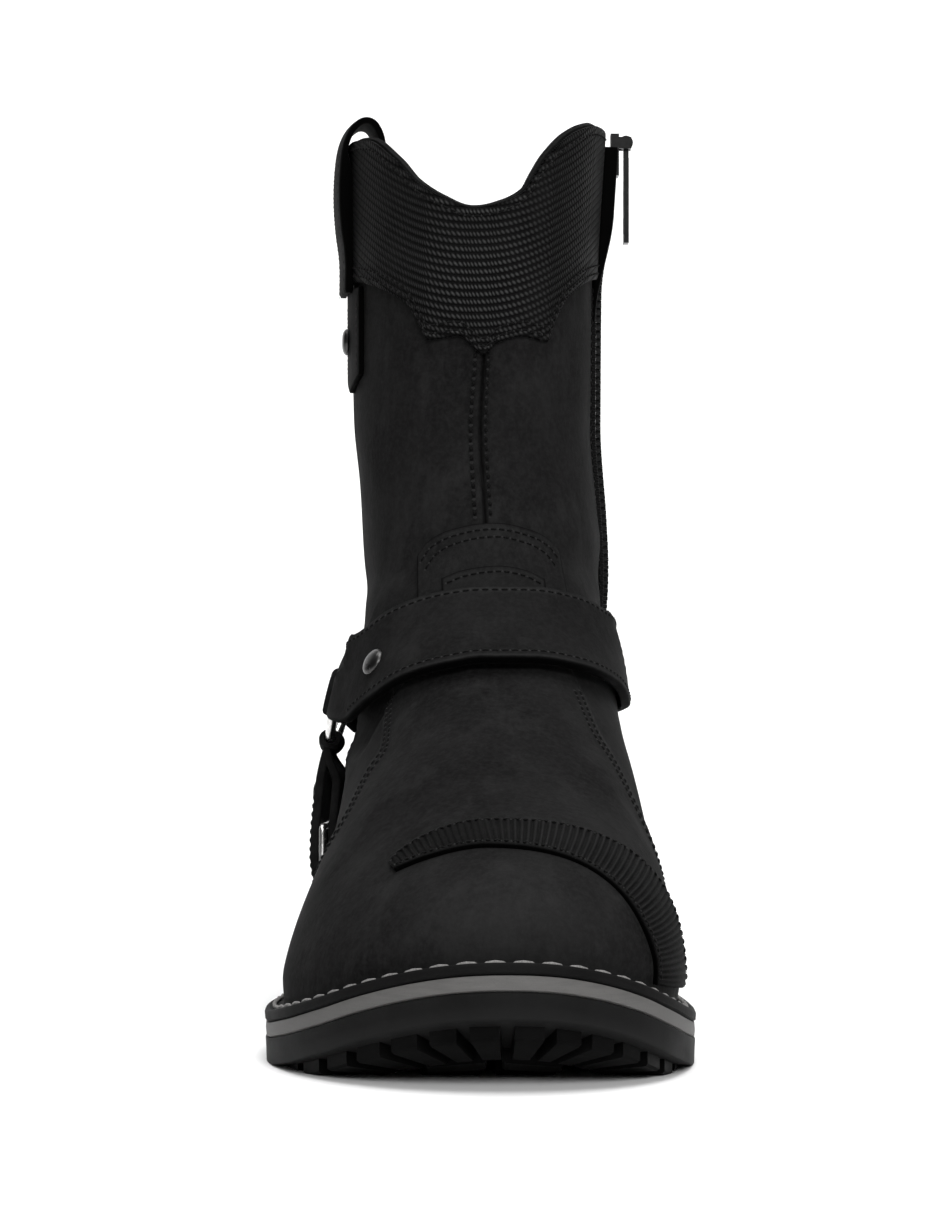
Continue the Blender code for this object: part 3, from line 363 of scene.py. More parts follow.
def fade(value, start, over):
    """0 before the start, 1 when it has run over its length."""
    return smoothstep((value - start) / over)


def bell(x):
    return np.exp(-(x**2))


def rounded(x, power):
    """A superellipse quadrant: 1 at x = 0, falling to 0 at x = 1."""
    x = np.clip(x, 0.0, 1.0)
    return (1 - x**power) ** (1 / power)


def side_point(along, height, side):
    """Points (x, along, height) of the outer face, on the inner (1) or outer (-1) side."""
    along, height, side = np.broadcast_arrays(np.asarray(along, float), np.asarray(height, float), side)
    low = feather(along)
    up = np.clip((height - low) / np.maximum(ridge_up(along), 1.0), 0.0, 1.0)
    back = back_along(height)
    front = front_along(height)
    plan = foot_half(along) * rounded((along - TOE_END + TOE_ROUND) / TOE_ROUND, TOE_POWER)
    plan = plan * rounded(1 - (along - back) / HEEL_ROUND, HEEL_POWER)
    tuck = FEATHER_TUCK * (1 - fade(height, low, TUCK_TALL)) * np.minimum(1.0, plan / TUCK_FADES)
    power = np.where(side > 0, inner_power(along), outer_power(along))
    foot = plan * rounded(up, power) - tuck
    reach = np.abs(2 * along - back - front) / np.maximum(front - back, 1.0)
    shaft = shaft_half(height) * rounded(reach, SHAFT_POWER)
    share = fade(height, SHAFT_STARTS, SHAFT_RULES - SHAFT_STARTS)
    middle = (1 - share) * foot_centre(along) + share * shaft_centre(height)
    half = (1 - share) * foot + share * shaft
    return np.stack([middle + side * half, along, height], axis=-1)


def wrap_turn(turn):
    return (np.asarray(turn, float) + 180) % 360 - 180


def wrap_point(turn, height):
    """Points of the outer face at these angles round the boot."""
    turn = wrap_turn(turn)
    back = back_along(height)
    front = front_along(height)
    along = (back + front) / 2 + (front - back) / 2 * np.cos(np.radians(turn))
    return side_point(along, height, np.where(turn >= 0, 1, -1))


def vamp_point(along, over):
    """Points of the outer face at angles over the foot: 0 outer feather, 90 ridge, 180 inner feather."""
    over = np.asarray(over, float)
    side = np.where(over < 90, -1, 1)
    power = np.where(side > 0, inner_power(along), outer_power(along))
    lift = np.sin(np.radians(np.clip(over, 0.01, 179.99))) ** (2 / power)
    return side_point(along, feather(along) + ridge_up(along) * lift, side)


def outer_side(along, height):
    return side_point(along, height, -1)


def inner_side(height, along):
    return side_point(along, height, 1)


def unit(vectors):
    return vectors / np.maximum(np.linalg.norm(vectors, axis=-1, keepdims=True), 1e-9)


def normal_of(surface, first, second):
    """Unit normals of a surface function."""
    step = 0.4
    one = surface(first + step, second) - surface(first - step, second)
    two = surface(first, second + step) - surface(first, second - step)
    return unit(np.cross(two, one))


def outward(surface, first, second, lift):
    """Points lifted off a surface function along its normal."""
    first = np.asarray(first, float)
    second = np.asarray(second, float)
    return surface(first, second) + np.asarray(lift)[..., None] * normal_of(surface, first, second)


def to_world(points):
    """Metres in the part's frame from (x, along, height) in millimetres."""
    x, along, height = np.moveaxis(np.asarray(points, float), -1, 0)
    return np.stack([x - X_OF_ORIGIN, ALONG_OF_ORIGIN - along, height], axis=-1) * MM


# Materials


def placed(name, data):
    """A new object in the scene."""
    made = bpy.data.objects.new(name, data)
    bpy.context.scene.collection.objects.link(made)
    return made


def grey(value, warm=0.0):
    return (value * (1 + warm), value, value * (1 - warm))


def scaled(colour, factor):
    return tuple(value * factor for value in colour)


class Surface:
    """A material with its Principled shader, and short ways to add the nodes that feed it."""

    def __init__(self, name, colour, roughness, metallic=0.0):
        self.material = bpy.data.materials.new(name)
        self.material.use_nodes = True
        self.tree = self.material.node_tree
        self.shader = self.tree.nodes["Principled BSDF"]
        self.put("Base Color", (*colour, 1))
        self.put("Roughness", roughness)
        self.put("Metallic", metallic)
        self.place = self.node("ShaderNodeTexCoord").outputs["Object"]

    def node(self, kind, feeds=None, **settings):
        """A new node with its settings, its sockets set or linked."""
        made = self.tree.nodes.new(kind)
        for key, value in settings.items():
            setattr(made, key, value)
        for socket, value in (feeds or {}).items():
            self.feed(made.inputs[socket], value)
        return made

    def put(self, socket, value):
        self.feed(self.shader.inputs[socket], value)

    def feed(self, socket, value):
        """Sets a socket to a number, or links another node's output to it."""
        if isinstance(value, bpy.types.NodeSocket):
            self.tree.links.new(value, socket)
        else:
            socket.default_value = value

    def math(self, operation, first, second=0.0):
        return self.node("ShaderNodeMath", {0: first, 1: second}, operation=operation).outputs[0]

    def noise(self, scale, detail=3.0, roughness=0.55, place=None):
        feeds = {"Vector": place or self.place, "Scale": scale, "Detail": detail, "Roughness": roughness}
        return self.node("ShaderNodeTexNoise", feeds).outputs["Fac"]

    def cells(self, scale):
        return self.node("ShaderNodeTexVoronoi", {"Vector": self.place, "Scale": scale}).outputs["Distance"]

    def stretched(self, scale):
        """The place in the object, scaled differently along its axes."""
        return self.node("ShaderNodeMapping", {"Vector": self.place, "Scale": scale}).outputs["Vector"]

    def span(self, value, low, high, to_low=0.0, to_high=1.0):
        """A number moved from one range to another, and held within it."""
        feeds = dict(enumerate((value, low, high, to_low, to_high)))
        return self.node("ShaderNodeMapRange", feeds).outputs["Result"]

    def blend(self, share, first, second):
        """Mixes two colours."""
        made = self.node("ShaderNodeMix", data_type="RGBA")
        sockets = [socket for socket in made.inputs if socket.enabled]
        for socket, value in zip(sockets, (share, first, second)):
            self.feed(socket, (*value, 1) if isinstance(value, tuple) else value)
        return [socket for socket in made.outputs if socket.enabled][0]

    def painted(self, name):
        """A number stored on the mesh's points."""
        return self.node("ShaderNodeAttribute", attribute_name=name).outputs["Fac"]

    def worn(self, tone, dark, pale):
        """Pales a tone where the painted value is above zero, for worn edges and painted highlights, and
        blackens it where it is below, for dyed cut edges and painted shade.
        """
        wear_and_painted_light = self.painted("wear_and_painted_light")
        tone = self.blend(wear_and_painted_light, tone, pale)
        return self.blend(self.math("MULTIPLY", wear_and_painted_light, -1.0), tone, scaled(dark, 0.2))

    def flat_place(self):
        """Millimetres along and across a band, from its UV map."""
        split = self.node("ShaderNodeSeparateXYZ")
        self.feed(split.inputs[0], self.node("ShaderNodeUVMap", uv_map="mm").outputs["UV"])
        return split.outputs["X"], split.outputs["Y"]

    def bump(self, *layers):
        """Stacks bump layers, each a height and its depth in millimetres."""
        normal = None
        for height, depth in layers:
            feeds = {"Strength": 1.0, "Distance": depth * MM, "Height": height}
            if normal is not None:
                feeds["Normal"] = normal
            normal = self.node("ShaderNodeBump", feeds).outputs["Normal"]
        self.put("Normal", normal)


def leather(name, dark, light, rough_low, rough_high, nap):
    """Matte nubuck: cloudy tone, faint scuffs, paler worn edges, dyed black cuts, painted highlights and
    painted shade, and a fine nap.
    """
    made = Surface(name, dark, rough_high)
    cloud = made.noise(26, 5, 0.6)
    tone = made.blend(made.span(cloud, 0.3, 0.72), dark, light)
    fine = made.span(made.noise(620, 4, 0.75), 0.4, 0.66, 0.0, 0.45)
    tone = made.blend(fine, tone, scaled(light, 1.5))
    scuff = made.span(made.noise(70, 6, 0.72, made.stretched((1.0, 1.0, 0.45))), 0.5, 0.74, 0.0, 0.75)
    tone = made.blend(scuff, tone, scaled(light, 1.6))
    tone = made.worn(tone, dark, scaled(light, 2.4))
    made.put("Base Color", tone)
    made.put("Roughness", made.span(cloud, 0.3, 0.7, rough_high, rough_low))
    made.put("Specular IOR Level", 0.006)
    grain = made.noise(260, 5, 0.65)
    fuzz = made.noise(3200, 2, 0.6)
    made.bump((grain, 0.16), (made.cells(1500), nap * 0.5), (fuzz, nap))
    return made.material


TWILL_ROW = 2.25
TWILL_RIB = 1.5


def embossed_leather(name, dark, light):
    """A raised weave: rows that dip to the front, each made of slanted ribs, with painted highlights on the
    rib crests and painted shade in the grooves.
    """
    made = Surface(name, dark, 0.5)
    along, across = made.flat_place()
    row = made.math("DIVIDE", across, TWILL_ROW)
    in_row = made.math("FRACT", row)
    crown = made.math("SINE", made.math("MULTIPLY", in_row, math.pi))
    shift = made.math("MULTIPLY", made.math("FLOOR", row), 0.37)
    slant = made.math("MULTIPLY", in_row, 0.9)
    rib_place = made.math("ADD", made.math("DIVIDE", along, TWILL_RIB), made.math("ADD", shift, slant))
    rib = made.math("SINE", made.math("MULTIPLY", rib_place, 2 * math.pi))
    raised = made.math("MULTIPLY", crown, made.math("ADD", made.math("MULTIPLY", rib, 0.26), 0.74))
    cloud = made.noise(40, 4, 0.6)
    # Painted shade in the grooves and painted highlight on the raised ribs
    tone = made.blend(made.span(raised, 0.35, 1.0), dark, light)
    tone = made.blend(made.span(cloud, 0.45, 0.75, 0.0, 0.4), tone, scaled(light, 0.6))
    # The pale colour for worn edges and painted highlights, brightest on the rib crests
    ribs = made.span(raised, 0.45, 1.0, 0.0, 1.0)
    pale = made.blend(ribs, dark, scaled(light, 2.6))
    tone = made.worn(tone, dark, pale)
    made.put("Base Color", tone)
    made.put("Roughness", made.span(cloud, 0.3, 0.7, 0.48, 0.6))
    made.put("Specular IOR Level", 0.02)
    made.bump((raised, 0.6), (made.noise(2600, 2, 0.6), 0.03))
    return made.material


def rubber(name, dark, light, rough, gloss=0.06):
    """Moulded rubber with a faint mottle and dust on its worn edges."""
    made = Surface(name, dark, rough)
    mottle = made.noise(60, 5, 0.65)
    tone = made.blend(made.span(mottle, 0.35, 0.7), dark, light)
    tone = made.blend(made.painted("wear_and_painted_light"), tone, scaled(light, 2.0))
    made.put("Base Color", tone)
    made.put("Roughness", made.span(mottle, 0.3, 0.7, rough - 0.06, rough + 0.08))
    made.put("Specular IOR Level", gloss)
    made.bump((made.noise(300, 3, 0.6), 0.05), (made.noise(2200, 2, 0.6), 0.03))
    return made.material


def foam(name, dark, light):
    """A grey foamed layer with faint lengthwise streaks."""
    made = Surface(name, dark, 0.7)
    streak = made.noise(120, 4, 0.6, made.stretched((1.0, 1.0, 8.0)))
    speck = made.noise(1400, 2, 0.6)
    tone = made.blend(made.span(streak, 0.3, 0.7), dark, light)
    tone = made.blend(made.span(speck, 0.62, 0.8, 0.0, 0.35), tone, scaled(dark, 0.45))
    made.put("Base Color", tone)
    made.put("Roughness", made.span(streak, 0.3, 0.7, 0.62, 0.78))
    made.bump((streak, 0.06), (speck, 0.04))
    return made.material


def metal(name, colour, rough, scratch):
    """Polished or blackened metal with fine scratches."""
    made = Surface(name, colour, rough, 1.0)
    lines = made.noise(500, 4, 0.7, made.stretched((1.0, 6.0, 1.0)))
    cloud = made.noise(120, 3, 0.6)
    made.put("Roughness", made.span(cloud, 0.3, 0.7, rough - 0.06, rough + 0.12))
    tone = made.blend(made.span(lines, 0.4, 0.75, 0.0, 1.0), colour, scaled(colour, 0.72))
    made.put("Base Color", tone)
    made.bump((lines, scratch))
    return made.material


def woven(name, dark, light, pitch, depth):
    """A plain weave, from the place on the band."""
    made = Surface(name, dark, 0.9)
    along, across = made.flat_place()
    turn = 2 * math.pi / pitch
    warp = made.math("SINE", made.math("MULTIPLY", along, turn))
    weft = made.math("SINE", made.math("MULTIPLY", across, turn))
    weave = made.math("MULTIPLY", warp, weft)
    tone = made.blend(made.span(weave, -1.0, 1.0), dark, light)
    made.put("Base Color", tone)
    made.put("Sheen Weight", 0.04)
    made.put("Specular IOR Level", 0.02)
    made.bump((weave, depth), (made.noise(1800, 2, 0.6), 0.04))
    return made.material


def thread(name, dark, light):
    """Thread with a fine, uneven ply."""
    made = Surface(name, dark, 0.75)
    ply = made.noise(2400, 2, 0.5)
    made.put("Base Color", made.blend(made.span(ply, 0.35, 0.65), dark, light))
    made.put("Specular IOR Level", 0.08)
    made.bump((ply, 0.08))
    return made.material


LEATHER = leather("nubuck", grey(0.0046), grey(0.0118), 0.56, 0.70, 0.035)
STRAP_LEATHER = leather("strap_leather", grey(0.0048), grey(0.0104), 0.52, 0.66, 0.03)
PAD_LEATHER = leather("pad_leather", grey(0.0040), grey(0.0070), 0.52, 0.66, 0.03)
EMBOSSED = embossed_leather("embossed_leather", grey(0.0025), grey(0.0210))
RUBBER = rubber("outsole_rubber", grey(0.0050), grey(0.0080), 0.62)
# Painted shade: the outsole's rubber made darker for the tread lugs, whose faces lie in shadow under the
# sole
TREAD_PAINTED_SHADE = rubber("tread_rubber_painted_shade", grey(0.0014), grey(0.0036), 0.5, 0.03)
WELT = rubber("welt_strip", grey(0.0035), grey(0.0056), 0.66)
MIDSOLE = foam("midsole_foam", grey(0.062, 0.03), grey(0.088, 0.03))
STEEL = metal("nickel_steel", grey(0.72, 0.01), 0.24, 0.02)
DARK_STEEL = metal("dark_steel", grey(0.055, 0.01), 0.26, 0.02)
BLACK_METAL = metal("black_metal", grey(0.014), 0.34, 0.02)
TAPE = woven("zip_tape_weave", grey(0.0035), grey(0.009), 0.9, 0.12)
LINING = woven("lining_weave", grey(0.02), grey(0.042), 1.1, 0.12)
FOOTBED = woven("footbed_weave", grey(0.022), grey(0.05), 1.6, 0.16)
BLACK_THREAD = thread("black_thread", grey(0.0014), grey(0.0034))
GREY_THREAD = thread("grey_thread", grey(0.12, 0.02), grey(0.22, 0.02))
# Painted shade of the needle holes: a near-black lens on the leather
PINHOLE_PAINTED_SHADE = Surface("pinhole_painted_shade", grey(0.002), 0.95).material


# Mesh helpers


def grid_faces(rows, columns, closed):
    """Quads between neighbouring rows of points; closed joins the last column to the first."""
    i, j = np.meshgrid(np.arange(rows - 1), np.arange(columns if closed else columns - 1), indexing="ij")
    here = i * columns + j
    aside = i * columns + (j + 1) % columns
    return np.stack([here, aside, aside + columns, here + columns], axis=-1).reshape(-1, 4).tolist()


def ring_faces(rows, columns):
    """Quads of a shape that closes both ways: its last row joins the first too."""
    last = (rows - 1) * columns
    ends = [(last + j, last + (j + 1) % columns, (j + 1) % columns, j) for j in range(columns)]
    return grid_faces(rows, columns, True) + ends


def capped_faces(rows, columns):
    """Quads round a shape, with one face over each end."""
    last = (rows - 1) * columns
    return grid_faces(rows, columns, True) + [tuple(range(columns)), tuple(range(last, last + columns))]


def piece(name, points, faces, materials, slot, nodes=(), flat=None, wear_and_painted_light=None, inside=None, sharp=35):
    """A new piece of the boot from points in millimetres, riding on the boot and standing for its solids."""
    mesh = bpy.data.meshes.new(name)
    mesh.from_pydata(to_world(np.asarray(points).reshape(-1, 3)).tolist(), [], faces)
    for material in materials:
        mesh.materials.append(material)
    if inside is not None:
        mesh.polygons.foreach_set("material_index", np.asarray(inside, np.int32))
    if flat is not None:
        corners = np.zeros(len(mesh.loops), np.int32)
        mesh.loops.foreach_get("vertex_index", corners)
        layer = mesh.uv_layers.new(name="mm")
        layer.uv.foreach_set("vector", np.asarray(flat, np.float32).reshape(-1, 2)[corners].ravel())
    paint = mesh.attributes.new("wear_and_painted_light", "FLOAT", "POINT")
    if wear_and_painted_light is not None:
        paint.data.foreach_set("value", np.asarray(wear_and_painted_light, np.float32).ravel())
    shape = bmesh.new()
    shape.from_mesh(mesh)
    bmesh.ops.recalc_face_normals(shape, faces=shape.faces)
    shape.to_mesh(mesh)
    shape.free()
    mesh.shade_smooth()
    mesh.set_sharp_from_angle(angle=math.radians(sharp))
    obj = placed(name, mesh)
    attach(obj, BOOT)
    if nodes:
        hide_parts(*nodes)
    return obj


def grid_normals(grid):
    """Unit normals of a grid of points."""
    return unit(np.cross(np.gradient(grid, axis=0), np.gradient(grid, axis=1)))


def lengths(grid, axis):
    """Distance run along one axis of a grid of points, from its first row."""
    steps = np.linalg.norm(np.diff(grid, axis=axis), axis=-1)
    return np.insert(np.cumsum(steps, axis=axis), 0, 0.0, axis=axis)


def edge_distance(grid):
    """Distance of each point of a band from its nearest edge."""
    across = lengths(grid, 1)
    down = lengths(grid, 0)
    nearest = np.minimum(across, across[:, -1:] - across)
    return np.minimum(nearest, np.minimum(down, down[-1:] - down))


EDGE_STEPS = np.array([0.0, 0.12, 0.4, 1.0])
EDGE_THIN = 0.45
CUT_SHARE = 0.6
LOOK_BELOW = 20.0


def edged(width, count, radius):
    """Shares from 0 to 1 across a band, with extra points for its rounded edges."""
    close = EDGE_STEPS * radius / width
    return np.concatenate([close, np.linspace(close[-1], 1 - close[-1], count)[1:-1], 1 - close[::-1]])


Look = namedtuple("Look", "worn dye pale flat")
PLAIN = Look(worn=0.5, dye=1.0, pale=0.0, flat=None)


def band(name, grid, thick, radius, material, nodes=(), look=PLAIN, slot=LEATHER_SLOT, relief=0.0, sink=0.0):
    """A closed strip about a grid of points: rounded edges, a worn face with painted highlights and shade, a
    back sunk into what is below.

    The look says how pale the edges are rubbed, how black the cut is dyed and painted as shade, and how the
    face is paled or darkened, as its tone or as painted highlight and shade.
    """
    near = edge_distance(grid)
    crown = EDGE_THIN + (1 - EDGE_THIN) * np.sqrt(1 - (1 - np.clip(near / radius, 0, 1)) ** 2)
    normal = grid_normals(grid)
    middle = grid.mean(axis=(0, 1))
    axis = np.array([0.0, (back_along(middle[2]) + front_along(middle[2])) / 2, middle[2] - LOOK_BELOW])
    normal = normal * np.sign(((grid - axis) * normal).sum(axis=-1).mean())
    outer = grid + normal * (thick / 2 * crown + relief)[..., None]
    inner = grid - normal * (thick / 2 * crown + sink)[..., None]
    rows, columns = grid.shape[:2]
    count = rows * columns
    faces = grid_faces(rows, columns, False)
    faces += [tuple(index + count for index in face[::-1]) for face in faces]
    ring = [(0, j) for j in range(columns)] + [(i, columns - 1) for i in range(1, rows)]
    ring += [(rows - 1, j) for j in range(columns - 2, -1, -1)] + [(i, 0) for i in range(rows - 2, 0, -1)]
    border = [i * columns + j for i, j in ring]
    for a, b in zip(border, border[1:] + border[:1]):
        faces.append((a, b, b + count, a + count))
    flat = look.flat
    if flat is None:
        flat = np.stack([lengths(grid, 0), lengths(grid, 1)], axis=-1)
    # The cut edges are dyed black and painted dark as shade, for the shadow under each edge
    cut = 1 - np.clip(near / (CUT_SHARE * radius), 0, 1)
    rubbed_and_painted_light = look.pale + look.worn * bell((near - radius) / (CUT_SHARE * radius))
    wear_and_painted_light = np.where(cut > 0, -look.dye * cut, rubbed_and_painted_light)
    both = np.concatenate([outer.reshape(-1, 3), inner.reshape(-1, 3)])
    wears_and_painted_light = np.concatenate([wear_and_painted_light.ravel(), -look.dye * cut.ravel()])
    flats = np.concatenate([flat.reshape(-1, 2)] * 2)
    piece(name, both, faces, [material], slot, nodes, flats, wears_and_painted_light)


ACROSS_WIRES = np.array([0.31, 0.27, 0.91])


def closed_wire(path, radius, sides):
    """Points and faces of a round wire along a closed path that never runs along ACROSS_WIRES."""
    ahead = unit(np.roll(path, -1, axis=0) - np.roll(path, 1, axis=0))
    side = unit(np.cross(ahead, ACROSS_WIRES))
    up = np.cross(side, ahead)
    turn = 2 * np.pi * np.arange(sides) / sides
    ring = np.cos(turn)[None, :, None] * side[:, None] + np.sin(turn)[None, :, None] * up[:, None]
    return (path[:, None] + radius * ring).reshape(-1, 3), ring_faces(len(path), sides)


def joined(parts):
    """One list of points and faces from several."""
    points = []
    faces = []
    start = 0
    for more, sides in parts:
        points.append(np.asarray(more).reshape(-1, 3))
        faces += [tuple(index + start for index in side) for side in sides]
        start += len(points[-1])
    return np.concatenate(points), faces


# Stitching

Seam = namedtuple("Seam", "path normal")
Stitch = namedtuple("Stitch", "pitch length radius")
SEAM_STITCH = Stitch(2.4, 1.7, 0.4)
FRONT_SEAM_STITCH = Stitch(2.7, 1.8, 0.55)
COLLAR_STITCH = Stitch(2.5, 1.75, 0.34)
INSTEP_STITCH = Stitch(2.4, 1.7, 0.33)
PAD_STITCH = Stitch(2.5, 1.7, 0.32)
STRAP_STITCH = Stitch(2.8, 1.9, 0.34)
PULL_STITCH = Stitch(2.6, 1.8, 0.33)
WELT_STITCH = Stitch(7.4, 5.9, 0.62)
STITCH_RINGS = ((-0.5, 0.25), (-0.38, 0.85), (0.0, 1.0), (0.38, 0.85), (0.5, 0.25))
STITCH_SIDES = 6
STITCH_DROOP = 0.6
ON_TOP = 0.05
HOLE_SIDES = 7
HOLE_WIDE = 1.15
HOLE_LONG = 0.8
HOLE_PROUD = 0.12
HOLE_DEEP = 0.2


def resample(path, pitch):
    """Points at equal steps along a path, how far along they lie, and how far its own points lie."""
    run = lengths(path[:, None], 0)[:, 0]
    count = max(int(run[-1] / pitch), 2)
    at = np.linspace(0, run[-1], count + 1)
    spots = np.stack([np.interp(at, run, path[:, axis]) for axis in range(3)], axis=1)
    return spots, at, run


def stitches(name, seams, stitch, colour=BLACK_THREAD, slot=LEATHER_SLOT, sink=0.3):
    """Rows of thread: a rounded stitch at each step, and a dark lens of painted shade where the needle went
    in.
    """
    sides = capped_faces(len(STITCH_RINGS), STITCH_SIDES)
    parts = []
    kinds = []
    for seam in seams:
        spots, at, run = resample(seam.path, stitch.pitch)
        normals = np.stack([np.interp(at, run, seam.normal[:, axis]) for axis in range(3)], axis=1)
        for start, end, up in zip(spots[:-1], spots[1:], normals[:-1]):
            ahead = unit(end - start)
            up = unit(up - ahead * (up @ ahead))
            side = np.cross(ahead, up)
            centre = (start + end) / 2 + up * stitch.radius * (1 - 2 * sink)
            rings = []
            for place, wide in STITCH_RINGS:
                droop = -stitch.radius * (2 * place) ** 2 * STITCH_DROOP
                middle = centre + ahead * place * stitch.length + up * droop
                for j in range(STITCH_SIDES):
                    turn = 2 * math.pi * j / STITCH_SIDES
                    spoke = math.cos(turn) * side + math.sin(turn) * up
                    rings.append(middle + spoke * stitch.radius * wide)
            hole = pinhole_painted_shade(start, ahead, side, up, stitch.radius * HOLE_WIDE)
            parts += [(np.array(rings), sides), hole]
            kinds += [0] * len(sides) + [1] * len(hole[1])
    points, faces = joined(parts)
    piece(name, points, faces, [colour, PINHOLE_PAINTED_SHADE], slot, inside=kinds, sharp=60)


def pinhole_painted_shade(spot, ahead, side, up, radius):
    """A tiny dark lens on the leather: painted shade for a needle hole."""
    points = [spot + up * HOLE_PROUD, spot - up * HOLE_DEEP]
    faces = []
    for j in range(HOLE_SIDES):
        turn = 2 * math.pi * j / HOLE_SIDES
        points.append(spot + radius * (HOLE_LONG * math.cos(turn) * ahead + math.sin(turn) * side))
        a = 2 + j
        b = 2 + (j + 1) % HOLE_SIDES
        faces += [(0, a, b), (1, b, a)]
    return np.array(points), faces


def seam_on(surface, first, second, lift):
    """A stitched line on a surface function."""
    first = np.asarray(first, float)
    second = np.broadcast_to(np.asarray(second, float), first.shape)
    return Seam(outward(surface, first, second, lift), normal_of(surface, first, second))


# Upper

VAMP_STEP = 0.9
ANKLE_HOLLOW = 3.2
THROAT = 112.0
THROAT_FADES = 4.0
VAMP_EDGE_SOFT = 1.6
UPPER_ROWS = 138
COLLAR_ROWS = 30
FINE_TURNS = (-3, 8)
FINE_STEP = 0.4
SIDE_TURN = 110
SIDE_STEP = 1.3
BACK_COLUMNS = 62
FRONT_SEAM_SPAN = (148.0, 207.0, 3.0)
FRONT_HALF_TURN = 30.0
BACK_SEAM_LOW = 62.0
BACK_SEAM_FADES = 6.0
BACK_SEAM_TURN = 150.0
BACK_SEAM_SHARE = 0.7
QUIET_LOW = 14.0
QUIET_TOP = 240.0
QUIET_TOP_FADES = 20.0
RIM_ROUND = 0.6
MM_A_DEGREE = 0.7
# Painted shade along the front seam's groove: how dark, and its half width
SEAM_PAINTED_SHADE = 0.6
SEAM_SHADE_HALF = 0.6
WAVE_HIGH = 0.22
WAVE_ALONG, WAVE_ALONG_UP, WAVE_ACROSS, WAVE_ACROSS_UP = 19, 31, 23, 17
WAVE_START = 0.6
RIPPLE_HIGH = 0.1
RIPPLE_ALONG, RIPPLE_ACROSS, RIPPLE_UP = 7.3, 9.1, 11
GROOVE_DEEP = 0.9
GROOVE_HALF = 0.5
SEAM_RIDGE_HIGH = 0.5
SEAM_RIDGE_OUT = 1.7
SEAM_RIDGE_HALF = 1.1
HOLLOW_BACK, HOLLOW_BACK_FADES = 85, 40
HOLLOW_FRONT, HOLLOW_FRONT_FADES = 167, 8
HOLLOW_LOW, HOLLOW_LOW_FADES = 82, 12
HOLLOW_HIGH, HOLLOW_HIGH_FADES = 104, 16
# Painted highlight: a paler patch on the toe's top, where the light falls
TOE_HIGHLIGHT_FROM, TOE_HIGHLIGHT_FADES = 230, 20
TOE_HIGHLIGHT_MIDDLE, TOE_HIGHLIGHT_HALF = 3, 24
TOE_HIGHLIGHT_HEIGHT, TOE_HIGHLIGHT_TALL = 50, 9
FOOT_WORN_TALL = 2.5
EDGE_PALE = 0.3
TOE_PAINTED_HIGHLIGHT = 0.24
FOOT_PALE = 0.25
LEVELS = np.arange(len(PROFILE), dtype=float)
level_front = monotone(LEVELS, FRONT_ALONG)
level_back_height = monotone(LEVELS, feather(BACK_ALONG) + BACK_UP)
level_follow = monotone(LEVELS, np.array([row.follow for row in PROFILE]))
outer_edge = curve_of(VAMP_EDGE_OUTER, "height", "turn")
inner_edge = curve_of(VAMP_EDGE_INNER, "height", "turn")
seam_turn = curve_of(FRONT_SEAM, "height", "turn")


def level_height(level, turn):
    """Height of the outer face on a level that follows the sole below and runs straight above."""
    back = back_along(level_back_height(level))
    front = level_front(level)
    along = (back + front) / 2 + (front - back) / 2 * np.cos(np.radians(turn))
    share = (along - back) / (front - back)
    straight = level_back_height(level) * (1 - share) + ridge_height(front) * share
    sole = feather(along) - feather(back) * (1 - share) - feather(front) * share
    return along, straight + level_follow(level) * sole


def upper_grid():
    """Turns, heights and points of the outer face, from the feather line to the collar."""
    low, high = FINE_TURNS
    outer = np.arange(-SIDE_TURN, low, SIDE_STEP)
    inner = np.arange(high, SIDE_TURN, SIDE_STEP)
    back = np.linspace(SIDE_TURN, 360 - SIDE_TURN, BACK_COLUMNS)[:-1]
    turns = np.concatenate([outer, np.arange(low, high, FINE_STEP), inner, back])
    level = np.linspace(0, COLLAR_STARTS, UPPER_ROWS)[:, None]
    along, height = level_height(level, turns[None, :])
    side = np.where(wrap_turn(turns) >= 0, 1, -1)[None, :]
    lower = side_point(along, height, side)
    share = np.linspace(0, 1, COLLAR_ROWS + 1)[1:, None]
    top = collar_height(wrap_turn(turns))[None, :]
    tall = height[-1:] + (top - height[-1:]) * share
    upper = wrap_point(np.broadcast_to(turns, tall.shape), tall)
    heights = np.concatenate([height, tall])
    return np.broadcast_to(wrap_turn(turns), heights.shape), heights, np.concatenate([lower, upper])


def vamp_share(turn, height):
    """1 on the vamp, 0 behind its edges and above its throat."""
    ahead = np.where(turn < 0, turn - outer_edge(height), inner_edge(height) - turn)
    return smoothstep(ahead / VAMP_EDGE_SOFT + 0.5) * (1 - fade(height, THROAT, THROAT_FADES))


def folds(turn, height):
    deep = np.zeros_like(height)
    for fold in FOLDS:
        across = wrap_turn(turn - fold.turn)
        run = (height - fold.height - fold.slope * across) / fold.height_half
        deep += fold.deep * np.exp(-((across / fold.turn_half) ** 2) - run**2)
    return deep


def waves(points):
    """Slow unevenness of lasted leather."""
    x, along, height = np.moveaxis(points, -1, 0)
    slow = np.sin(along / WAVE_ALONG + height / WAVE_ALONG_UP + WAVE_START)
    slow = slow * np.sin(x / WAVE_ACROSS + height / WAVE_ACROSS_UP)
    quick = np.sin(along / RIPPLE_ALONG - x / RIPPLE_ACROSS + height / RIPPLE_UP)
    return WAVE_HIGH * slow + RIPPLE_HIGH * quick


def seam_groove(distance, shown):
    """A sewn joint: a narrow groove between two soft ridges."""
    ridge = SEAM_RIDGE_HIGH * bell((np.abs(distance) - SEAM_RIDGE_OUT) / SEAM_RIDGE_HALF)
    return shown * (ridge - GROOVE_DEEP * bell(distance / GROOVE_HALF))


